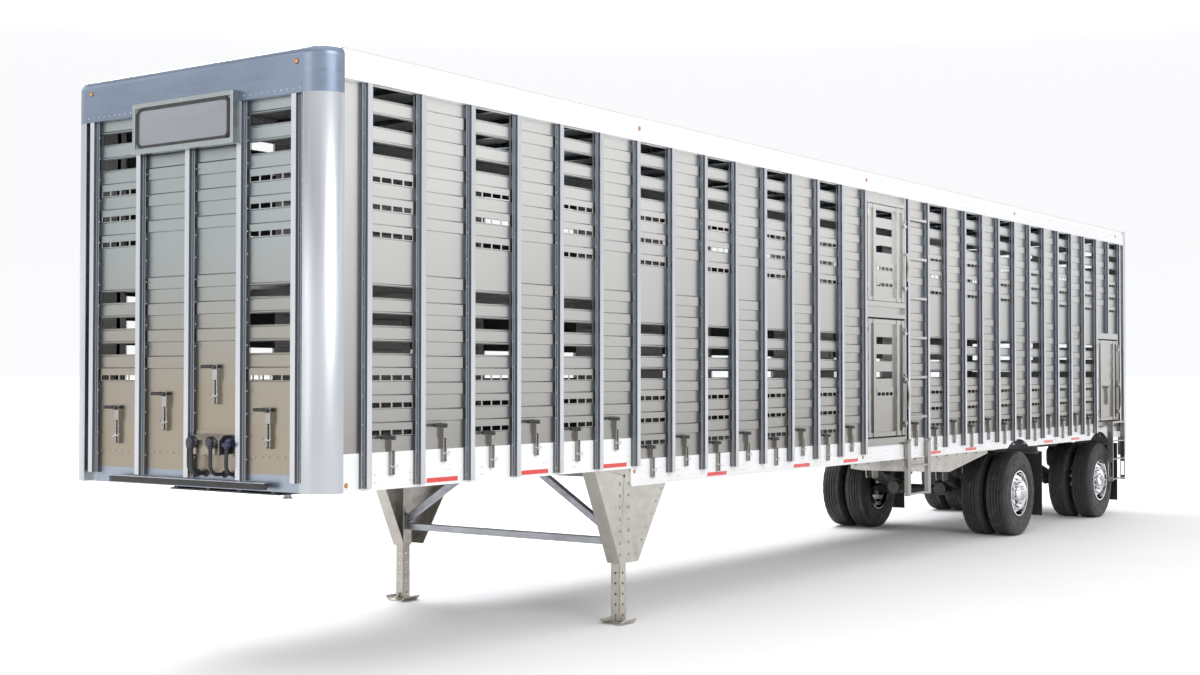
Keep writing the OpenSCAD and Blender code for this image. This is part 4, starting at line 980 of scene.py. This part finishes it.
def make_nose_box():
    """Socket box with a sloped top, dark end caps, a back plate, and grommets where the hoses go in."""
    lo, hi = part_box("nose_box")
    plate_x = WALL_X - 0.012
    shape = Shape()
    shape.box((plate_x + 0.008, lo.y, lo.z), (WALL_X - 0.0005, hi.y, hi.z), 0.002, 0)
    low, high, face_top = 1.478, 1.606, 1.572
    outline = [(plate_x, low), (plate_x, high), (at(-0.010), high), (BOX_FACE, face_top), (BOX_FACE, low)]
    shape.prism(outline, (0, -0.094, 0), (1, 0, 0), (0, 0, 1), 0.286, 0, 0.003)
    for y in (-0.380, -0.084):
        shape.prism(outline, (0, y, 0), (1, 0, 0), (0, 0, 1), 0.010, 1, 0.002)
    for y in (lo.y + 0.02, hi.y - 0.02):
        for z in (lo.z + 0.018, hi.z - 0.018):
            bolt(shape, (plate_x + 0.008, y, z), (-1, 0, 0), 0.006, 2)
    for y in (-0.365, -0.235, -0.105):
        for z in (1.492, 1.560):
            dome(shape, (BOX_FACE, y, z), (-1, 0, 0), 0.006, 0.003, 2)
    for y, _, _ in HOSES:
        ring = [(0.013, -0.001), (0.024, -0.001), (0.026, 0.004), (0.022, 0.010), (0.016, 0.013),
                (0.0131, 0.012)]
        shape.lathe(ring, facing((WALL_X - 0.001, y, HOSE_LOW), (-1, 0, 0)), 20, 1)
    place(shape.build("nose_box_shell", [WARM, PLASTIC, STEEL]), "trailer", "plastic_black", "nose_box")


def make_couplings():
    """Two lidded electrical sockets and two air couplings, each over its hose."""
    shape = Shape()
    for y in SOCKET_Y:
        body = [(0, 0.001), (0.034, 0.001), (0.036, 0.006), (0.036, 0.014), (0.030, 0.018), (0.030, 0.038),
                (0.033, 0.041), (0.033, 0.048), (0.027, 0.0535), (0, 0.054)]
        shape.lathe(body, facing((BOX_FACE, y, 1.560), (-1, 0, 0)), 24, 0)
        shape.box((at(-0.098), y - 0.012, 1.588), (at(-0.047), y + 0.012, 1.600), 0.003, 0)
        collar = [(0.013, 0), (0.018, 0.000), (0.020, 0.006), (0.018, 0.030), (0.013, 0.034)]
        shape.lathe(collar, Matrix.Translation((at(-0.074), y, 1.516)), 16, 0)
    for y in reversed(AIR_Y):
        big = y < -0.4
        r = 0.032 if big else 0.020
        cup = [(0.010, -0.012), (0.015, -0.012), (0.017, -0.006), (0.017, 0), (r * 0.9, 0.004), (r, 0.010),
               (r, 0.022), (r * 0.8, 0.030), (0, 0.032), (0, -0.010)]
        shape.lathe(cup, Matrix.Translation((at(-0.030), y, 1.528)), 20, 1 if big else 0)
        arm = [(at(-0.030), y, 1.545), (at(-0.018), y, 1.566), (at(0.004), y, 1.572), (at(0.030), y, 1.560),
               (at(0.040), y, 1.552)]
        shape.tube(arm, [0.017, 0.019, 0.018, 0.019, 0.021], 12, 1 if big else 0)
    blue = Finish("coupling_blue", (0.020, 0.028, 0.070), 0.0, 0.34)
    blue = blue.mottle(0.2, 20).streaks(0.1, 20, (1, 1, 1)).bump(300, 0.0004, 0.3).done()
    place(shape.build("couplings", [PLASTIC, blue]), "trailer", "plastic_black", "gladhands")


def make_bumper():
    """Rubber buffer with angled ends in an aluminium channel."""
    lo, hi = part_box("bumper_bar")
    shape = Shape()
    z0, z1 = 1.262, 1.306
    face, back = lo.x, at(-0.004)
    end = [(back, 0.001), (face + 0.014, 0.004), (face + 0.002, 0.036), (face, 0.050)]
    outline = [(x, lo.y + inset) for x, inset in end] + [(x, hi.y - inset) for x, inset in reversed(end)]
    shape.prism(outline, (0, 0, z0), (1, 0, 0), (0, 1, 0), z1 - z0 - 0.006, 0, 0.004)
    shape.box((face + 0.010, lo.y + 0.010, z1 - 0.006), (at(0.010), hi.y - 0.010, z1), 0.0015, 1)
    shape.box((at(-0.004), lo.y + 0.010, z0), (at(0.002), hi.y - 0.010, z1 - 0.004), 0.0015, 1)
    for y in (-0.700, -0.240, 0.240, 0.700):
        shape.box((at(-0.004), y - 0.030, z0 + 0.006), (WALL_X - 0.002, y + 0.030, z1 - 0.006), 0.002, 1)
    for n in range(9):
        bolt(shape, (at(-0.012), -0.72 + n * 0.18, z1), (0, 0, 1), 0.006, 2)
    place(shape.build("bumper_buffer", [RUBBER, POST, STEEL]), "trailer", "rubber", "bumper_bar")


# ---------------------------------------------------------------- lamps and tape

LAMP_STATIONS = (3.520, 7.650, 11.761, 15.700)


def lamp(shape, point, normal, r, slot=0):
    """Ribbed lens on a dark gasket."""
    move = facing(point, normal)
    shape.lathe([(1.25 * r, -0.001), (1.25 * r, 0.002), (r, 0.004), (0, 0.004), (0, -0.001)], move, 20, 2)
    lens = ((1, 0.003), (1, 0.0045), (0.82, 0.0062), (0.76, 0.0056), (0.60, 0.0075), (0.54, 0.0069),
            (0.36, 0.0085), (0.30, 0.0079), (0.12, 0.0088), (0, 0.0088), (0, 0.003))
    shape.lathe([(part * r, height) for part, height in lens], move, 24, slot)


def make_lamps():
    shape = Shape()
    for side in SIDES:
        out = (0, side, 0)
        for x in LAMP_STATIONS:
            lamp(shape, (at(x), side * HALF_W, 4.014), out, 0.015)
        lamp(shape, (at(3.520), side * SKIN, 1.222), out, 0.013)
        lamp(shape, (at(7.650), side * SKIN, 1.158), out, 0.013)
        lamp(shape, (at(0.260), side * SKIN, 1.292), out, 0.013)
        lamp(shape, (FRONT, side * 1.050, 4.014), (-1, 0, 0), 0.015)
    for y in (-1.080, -0.940, 0.940, 1.080):
        lamp(shape, (REAR, y, 1.190), (1, 0, 0), 0.044, 1)
    for y in (-0.200, 0.0, 0.200):
        lamp(shape, (REAR, y, 4.060), (1, 0, 0), 0.015, 1)
    place(shape.build("lamp_lenses", [AMBER, RED, RUBBER]), "trailer", "amber", "marker_lamps")


# ---------------------------------------------------------------- wheels

TYRE_R, TYRE_HALF, RIM_R = 0.525, 0.138, 0.284
TYRE_Y = (1.130, 0.800)
TYRE_TURNS = 120
RIBS = ((-0.098, -0.062), (-0.050, -0.024), (-0.012, 0.012), (0.024, 0.050), (0.062, 0.098))


def tyre_ring(step):
    """Radius and offset across the tyre at one step round it."""
    zig = 0.0022 * (1 if step % 2 else -1)
    h = TYRE_HALF
    # radius, and depth in from the tyre's side
    rows = ((RIM_R, 0.034), (0.290, 0.024), (0.296, 0.015), (0.306, 0.012), (0.312, 0.016), (0.345, 0.006),
            (0.372, 0.001), (0.376, -0.0004), (0.382, -0.0004), (0.386, 0.001), (0.420, 0.0005),
            (0.446, 0.002), (0.449, 0.001), (0.456, 0.001), (0.459, 0.004), (0.478, 0.008))
    wall = [(r, -h + inset) for r, inset in rows]
    notch = 0.006 if step % 4 == 0 else 0.0
    shoulder = [(0.497, -h + 0.014 + notch), (0.510, -h + 0.021 + notch), (0.519, -h + 0.030)]
    tread = []
    for n, (y0, y1) in enumerate(RIBS):
        left, right = (0 if n == 0 else zig), (0 if n == len(RIBS) - 1 else zig)
        sipe = 0.0015 if step % 3 == 0 else 0.0
        crown = [TYRE_R - 0.004 * (abs(y) / 0.098) ** 2 - sipe for y in (y0, y1)]
        tread += [(crown[0], y0 + left), (crown[1], y1 + right)]
        if n < len(RIBS) - 1:
            tread += [(0.5125, y1 + 0.002 + right), (0.5125, RIBS[n + 1][0] - 0.002 + zig)]
    other = [(r, -y) for r, y in reversed(wall + shoulder)]
    return wall + shoulder + tread + other


def add_tyre(shape, x, y):
    verts, faces = [], []
    for step in range(TYRE_TURNS):
        a = 2 * pi * step / TYRE_TURNS
        ring = tyre_ring(step)
        verts += [(x + r * cos(a), y + across, TYRE_R + r * sin(a)) for r, across in ring]
    n = len(tyre_ring(0))
    for step in range(TYRE_TURNS):
        here, there = step * n, (step + 1) % TYRE_TURNS * n
        for i in range(n):
            j = (i + 1) % n
            faces.append((here + i, here + j, there + j, there + i))
    shape.add(verts, faces, 0, True)


NUT_WASHER = [(0.024, -0.002), (0.024, 0.004), (0.020, 0.006), (0, 0.006), (0, -0.002)]
NUT = [(0.0185, 0.006), (0.0185, 0.030), (0.0160, 0.034), (0, 0.034), (0, 0.006)]
NUT_DOME = [(0.0172, 0.028), (0.0172, 0.044), (0.013, 0.054), (0.006, 0.0565), (0, 0.057), (0, 0.028)]


def make_wheels():
    for axle, name in ((1, "left"), (1, "right"), (2, "left"), (2, "right")):
        side = -1 if name == "left" else 1
        body = f"wheel_{axle}_{name}"
        lo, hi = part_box(f"tyres_{axle}_{name}")
        x = (lo.x + hi.x) / 2
        tyres, trim = Shape(), Shape()
        for y in TYRE_Y:
            add_tyre(tyres, x, side * y)
        obj = tyres.build(f"treaded_tyres_{axle}_{name}", [TYRE])
        split_sharp(obj)
        place(obj, body, "tyre", f"tyres_{axle}_{name}")
        rim_lo, rim_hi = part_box(f"rims_{axle}_{name}")
        hub = rim_lo.y if side < 0 else rim_hi.y
        out = (0, side, 0)
        disc = side * (TYRE_Y[0] + TYRE_Y[1]) / 2
        for i in range(10):
            a = 2 * pi * i / 10
            p = (x + 0.143 * cos(a), disc + side * 0.012, TYRE_R + 0.143 * sin(a))
            move = facing(p, out)
            trim.lathe(NUT_WASHER, move, 16, 0, False)
            trim.lathe(NUT, move, 6, 0, False)
            trim.lathe(NUT_DOME, move, 12, 0)
        cap = [(0.079, -0.020), (0.0795, -0.004), (0.074, 0.0015), (0.060, 0.004), (0.052, 0.0035),
               (0.050, 0.0045), (0.020, 0.006), (0, 0.006), (0, -0.020)]
        trim.lathe(cap, facing((x, hub - side * 0.004, TYRE_R), out), 32, 0)
        for i in range(6):
            a = 2 * pi * (i + 0.5) / 6
            bolt(trim, (x + 0.066 * cos(a), hub - side * 0.001, TYRE_R + 0.066 * sin(a)), out, 0.005, 0)
        stem_points = ((0.205, 0.030), (0.212, 0.050), (0.226, 0.085))
        valve = [(x + dx, disc + side * dy, TYRE_R + 0.02) for dx, dy in stem_points]
        trim.tube(valve, 0.004, 8, 1)
        place(trim.build(f"wheel_trim_{axle}_{name}", [CHROME, STEEL]), body, "polished_alu")


def split_sharp(obj, angle=35):
    """Keeps tread edges crisp while the sidewalls stay smooth."""
    mesh = obj.data
    bm = bmesh.new()
    bm.from_mesh(mesh)
    for e in bm.edges:
        if len(e.link_faces) == 2 and e.calc_face_angle(0) > radians(angle):
            e.smooth = False
    bm.to_mesh(mesh)
    bm.free()


SPRING_Y = 0.480


def make_air_springs():
    """Rolling-lobe bellows under the frame, and the piston on the axle that goes up into each."""
    for axle in (1, 2):
        lo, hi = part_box(f"air_springs_{axle}")
        x = (lo.x + hi.x) / 2
        bellows, pistons = Shape(), Shape()
        for side in SIDES:
            y = side * SPRING_Y
            base = Matrix.Translation((x, y, lo.z))
            height = hi.z - lo.z
            lobe = [(0, height), (0.090, height), (0.092, height - 0.012), (0.100, height - 0.030),
                    (0.122, height - 0.070), (0.127, height - 0.130), (0.1265, height - 0.200),
                    (0.120, 0.115), (0.108, 0.088), (0.094, 0.082), (0.084, 0.092), (0.082, 0.130),
                    (0.082, 0.200), (0, 0.205)]
            bellows.lathe(lobe, base, 36, 0)
            low, high = height - 0.012, height - 0.002
            bellows.lathe([(0, low), (0.106, low), (0.106, high), (0, high)], base, 32, 1, False)
            piston = [(0, 0.001), (0.068, 0.001), (0.070, 0.012), (0.072, 0.050), (0.076, 0.090),
                      (0.078, 0.150), (0.070, 0.160), (0, 0.160)]
            pistons.lathe(piston, base, 32, 0)
        obj = bellows.build(f"spring_bellows_{axle}", [RUBBER, STEEL])
        place(obj, "trailer", "rubber", f"air_springs_{axle}")
        place(pistons.build(f"spring_pistons_{axle}", [BLACK]), f"axle_{axle}", "steel_dark")


FLAPS = (12.715, 15.775)


def make_mud_flaps():
    """Ribbed rubber flaps with a little curl, a clamp bar and bolts on each bracket."""
    shape = Shape()
    for x in map(at, FLAPS):
        for side in SIDES:
            y0, y1, z0, z1 = 0.655, 1.278, 0.200, 1.024
            cols, rows = 44, 14
            front, back = [], []
            for j in range(rows + 1):
                for i in range(cols + 1):
                    t, s = j / rows, i / cols
                    z = z0 + (z1 - z0) * t
                    curl = 0.012 * (1 - t) ** 2 * cos(3.0 * s + 0.6 * side) + 0.004 * sin(9 * s) * (1 - t)
                    rib = 0.0030 if i % 4 in (1, 2) and 1 < j < rows - 2 else 0.0
                    y = side * (y0 + (y1 - y0) * s)
                    front.append((x + curl, y, z))
                    back.append((x + curl + 0.008 + rib, y, z))
            n, verts, faces = cols + 1, front + back, []
            half = len(front)
            for j in range(rows):
                for i in range(cols):
                    a = j * n + i
                    b = half + a
                    faces += [(a, a + 1, a + n + 1, a + n), (b, b + n, b + n + 1, b + 1)]
            rim = list(range(n)) + [j * n + cols for j in range(1, rows + 1)]
            rim += [rows * n + i for i in range(cols - 1, -1, -1)] + [j * n for j in range(rows - 1, 0, -1)]
            faces += [(a, b, half + b, half + a) for a, b in zip(rim, rim[1:] + rim[:1])]
            shape.add(verts, faces, 0)
            span = sorted((side * 0.655, side * 1.228))
            shape.box((x - 0.012, span[0], 0.990), (x, span[1], 1.260), 0.002, 1)
            shape.box((x - 0.012, span[0], 1.024), (x + 0.020, span[1], 1.040), 0.002, 1)
            shape.box((x + 0.0115, span[0], 0.992), (x + 0.0165, span[1], 1.018), 0.001, 1)
            for i in range(6):
                bolt(shape, (x + 0.0165, side * (0.70 + i * 0.098), 1.005), (1, 0, 0), 0.007, 2)
    place(shape.build("rubber_flaps", [RUBBER, STEEL, CHROME]), "trailer", "rubber", "mud_flaps")


# ---------------------------------------------------------------- landing legs


def make_legs():
    """Square inner leg with a column of pin holes on each face, and a sand shoe with turned-up ends."""
    for name, side in (("left", -1), ("right", 1)):
        lo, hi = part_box(f"landing_leg_{name}")
        x = (lo.x + hi.x) / 2
        y = side * 1.178
        half = 0.042
        shape = Shape()
        for ax, ay in ((1, 0), (-1, 0), (0, 1), (0, -1)):
            out = Vector((ax, ay, 0))
            u = Vector((-ay, ax, 0))
            start = Vector((x, y, 0.030)) + out * (half - 0.005) - u * half
            punched_strip(shape, start, u, (0, 0, 1), out, 2 * half, 0.085, 10, 0.010, 0.005)
        shape.box((x - 0.036, y - 0.036, 0.80), (x + 0.036, y + 0.036, 0.86), 0.002)
        plate = []
        for n in range(21):
            t = -1 + 2 * n / 20
            lift = 0.034 * max(0.0, (abs(t) - 0.62) / 0.38) ** 1.6
            plate.append((0.110 * t, lift))
        outline = plate + [(u, z + 0.010) for u, z in reversed(plate)]
        shape.prism([(y + u, z) for u, z in outline], (x - 0.100, 0, 0), (0, 1, 0), (0, 0, 1), 0.200, 0)
        shape.box((x - 0.052, y - 0.052, 0.010), (x + 0.052, y + 0.052, 0.022), 0.002)
        for dx in SIDES:
            rib = [(0.044, 0.022), (0.092, 0.022), (0.044, 0.075)]
            outline = [(x + dx * u, z) for u, z in rib]
            shape.prism(outline, (0, y + 0.004, 0), (1, 0, 0), (0, 0, 1), 0.008, 0)
        leg = f"landing_leg_{name}"
        place(shape.build(f"leg_with_shoe_{name}", [GALV]), leg, "steel_grey", leg)


# ---------------------------------------------------------------- roof seams


def make_roof_seams():
    shape = Shape()
    for k in range(2, BAYS, 4):
        x = at(post_x(k) - 0.038)
        crown = [(-1.277, ROOF - 0.0065), (-0.9, ROOF - 0.0035), (0, ROOF - 0.0010), (0.9, ROOF - 0.0035),
                 (1.277, ROOF - 0.0065)]
        verts, faces = [], []
        for dx in (-0.030, 0.030):
            verts += [(x + dx, y, z + 0.0009) for y, z in crown] + [(x + dx, y, z - 0.002) for y, z in crown]
        n = len(crown)
        for i in range(n - 1):
            faces += [(i, i + 1, 2 * n + i + 1, 2 * n + i), (n + i, 3 * n + i, 3 * n + i + 1, n + i + 1),
                      (i, n + i, n + i + 1, i + 1), (2 * n + i, 2 * n + i + 1, 3 * n + i + 1, 3 * n + i)]
        faces += [(0, 2 * n, 3 * n, n), (n - 1, 2 * n - 1, 4 * n - 1, 3 * n - 1)]
        shape.add(verts, faces)
    place(shape.build("roof_seams", [ROOF_METAL]), "trailer", "white_rail")


# ---------------------------------------------------------------- finishes of the CAD nodes

NODE_FINISH = {
    DECK: ("floor_deck", "upper_deck"),
    POST: ("wall_posts", "cross_members", "roof_bows"),
    ALU: ("door_frames", "ladders", "door_upper", "door_lower", "door_rear_side", "latch_upper",
          "latch_lower", "latch_rear_side", "rear_door_left", "rear_door_right", "lower_ladder"),
    WHITE: ("lower_rails", "top_rails"),
    ROOF_METAL: ("roof_sheet",),
    CORNER: ("rear_frame",),
    NOSE: ("front_frame",),
    CAP: ("front_cap",),
    WARM: ("sign_box",),
    GALV: ("leg_housings", "subframe"),
    STEEL: ("leg_braces", "kingpin", "lock_rod_left", "lock_rod_right", "landing_crank"),
    BLACK: ("coupler_plate", "axle_1", "axle_2"),
    SHUTTER: ("shutters_left", "shutters_right", "shutters_front"),
    CHROME: ("rims_1_left", "rims_1_right", "rims_2_left", "rims_2_right"),
    TAPE: ("tape_strips",),
}
SOFTENED = {"wall_posts": 0.0015, "door_frames": 0.0015, "ladders": 0.0015, "lower_ladder": 0.0015,
            "door_upper": 0.0012, "door_lower": 0.0012, "door_rear_side": 0.0012, "rear_door_left": 0.0012,
            "rear_door_right": 0.0012, "rear_frame": 0.004, "sign_box": 0.003, "leg_housings": 0.002,
            "leg_braces": 0.004, "subframe": 0.002, "axle_1": 0.002, "axle_2": 0.002, "landing_crank": 0.002,
            "front_frame": 0.0015, "top_rails": 0.0015, "coupler_plate": 0.002}


def finish_nodes():
    for material, names in NODE_FINISH.items():
        for name in names:
            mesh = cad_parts[name].data
            mesh.materials.clear()
            mesh.materials.append(material)
    for name, width in SOFTENED.items():
        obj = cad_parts[name]
        weld = obj.modifiers.new("weld", "WELD")
        weld.merge_threshold = 0.00002
        bevel = obj.modifiers.new("edges", "BEVEL")
        bevel.width = width
        bevel.segments = 1
        bevel.limit_method = "ANGLE"
        bevel.angle_limit = radians(40)


# ---------------------------------------------------------------- floor, light, camera


FLOOR_R = 1500.0


def make_stage():
    f = Finish("studio_floor", (0.86, 0.86, 0.86), 0.0, 0.75)
    f.mottle(0.012, 0.4).streaks(0.05, 0.5, (1, 1, 1)).bump(25, 0.0006, 0.05)
    away = f.node("ShaderNodeVectorMath", operation="LENGTH")
    f.link(f.coords, away.inputs[0])
    f.link(f.remap(away.outputs["Value"], 14, 34, 0.0, 0.45), f.bsdf.inputs["Emission Strength"])
    f.bsdf.inputs["Emission Color"].default_value = (1, 1, 1, 1)
    floor_mat = f.done()
    shape = Shape()
    ring = [(FLOOR_R * cos(2 * pi * i / 64), FLOOR_R * sin(2 * pi * i / 64), 0) for i in range(64)]
    shape.add(ring, [tuple(range(64))])
    floor = shape.build("studio_floor", [floor_mat])
    world = bpy.data.worlds.new("studio")
    world.use_nodes = True
    bpy.context.scene.world = world
    tree = world.node_tree
    coords = tree.nodes.new("ShaderNodeTexCoord")
    split = tree.nodes.new("ShaderNodeSeparateXYZ")
    ramp = tree.nodes.new("ShaderNodeValToRGB")
    to_ramp = tree.nodes.new("ShaderNodeMapRange")
    to_ramp.inputs["From Min"].default_value = -1
    tree.links.new(coords.outputs["Generated"], split.inputs["Vector"])
    tree.links.new(split.outputs["Z"], to_ramp.inputs["Value"])
    tree.links.new(to_ramp.outputs["Result"], ramp.inputs["Fac"])
    tree.links.new(ramp.outputs["Color"], tree.nodes["Background"].inputs["Color"])
    stops = ((0.0, 0.24), (0.44, 0.45), (0.486, 0.66), (0.492, 0.97), (0.56, 0.95), (0.60, 0.96), (0.64, 1.5),
             (0.71, 1.5), (0.78, 0.60), (0.90, 1.2), (1.0, 1.5))
    ramp.color_ramp.elements[0].position = stops[0][0]
    ramp.color_ramp.elements[1].position = stops[-1][0]
    for n, (position, grey) in enumerate(stops):
        if 0 < n < len(stops) - 1:
            ramp.color_ramp.elements.new(position)
    for element, (position, grey) in zip(ramp.color_ramp.elements, stops):
        element.color = (grey, grey * 1.005, grey * 1.02, 1)
    tree.nodes["Background"].inputs["Strength"].default_value = 1.0


def area_light(name, place_at, target, size, power, colour=(1, 1, 1)):
    data = bpy.data.lights.new(name, "AREA")
    data.shape = "RECTANGLE"
    data.size, data.size_y = size
    data.energy = power
    data.color = colour
    obj = bpy.data.objects.new(name, data)
    obj.location = place_at
    obj.rotation_euler = (Vector(target) - Vector(place_at)).to_track_quat("-Z", "Y").to_euler()
    bpy.context.scene.collection.objects.link(obj)


CAMERA_AT = (FRONT - 7.016, -8.529, 2.002)
CAMERA_YAW, CAMERA_PITCH = 0.610, 0.021


def make_camera():
    data = bpy.data.cameras.new("camera")
    data.lens = 47.2
    data.sensor_width = 36.0
    data.shift_x = -0.02196
    data.shift_y = 0.00406
    data.clip_end = 2 * FLOOR_R
    obj = bpy.data.objects.new("camera", data)
    level = cos(CAMERA_PITCH)
    forward = Vector((cos(CAMERA_YAW) * level, sin(CAMERA_YAW) * level, sin(CAMERA_PITCH)))
    obj.location = CAMERA_AT
    obj.rotation_euler = forward.to_track_quat("-Z", "Y").to_euler()
    bpy.context.scene.collection.objects.link(obj)
    bpy.context.scene.camera = obj


make_camera()
make_hoses()
make_panels()
make_handles()
make_rivets()
make_sign_trim()
make_nose_box()
make_couplings()
make_bumper()
make_lamps()
make_wheels()
make_air_springs()
make_mud_flaps()
make_legs()
make_roof_seams()
finish_nodes()
make_stage()
area_light("key", (-11, -15, 11), (-1, 0, 2), (9, 7), 1100, (1.0, 0.99, 0.97))
area_light("front_fill", (-18, 3, 5), (-8, 0, 2.5), (6, 6), 120, (1.0, 0.96, 0.90))
area_light("back_top", (3, 11, 14), (0, 0, 2), (14, 6), 2600, (0.97, 0.98, 1.0))
bpy.context.scene.view_settings.view_transform = "Standard"
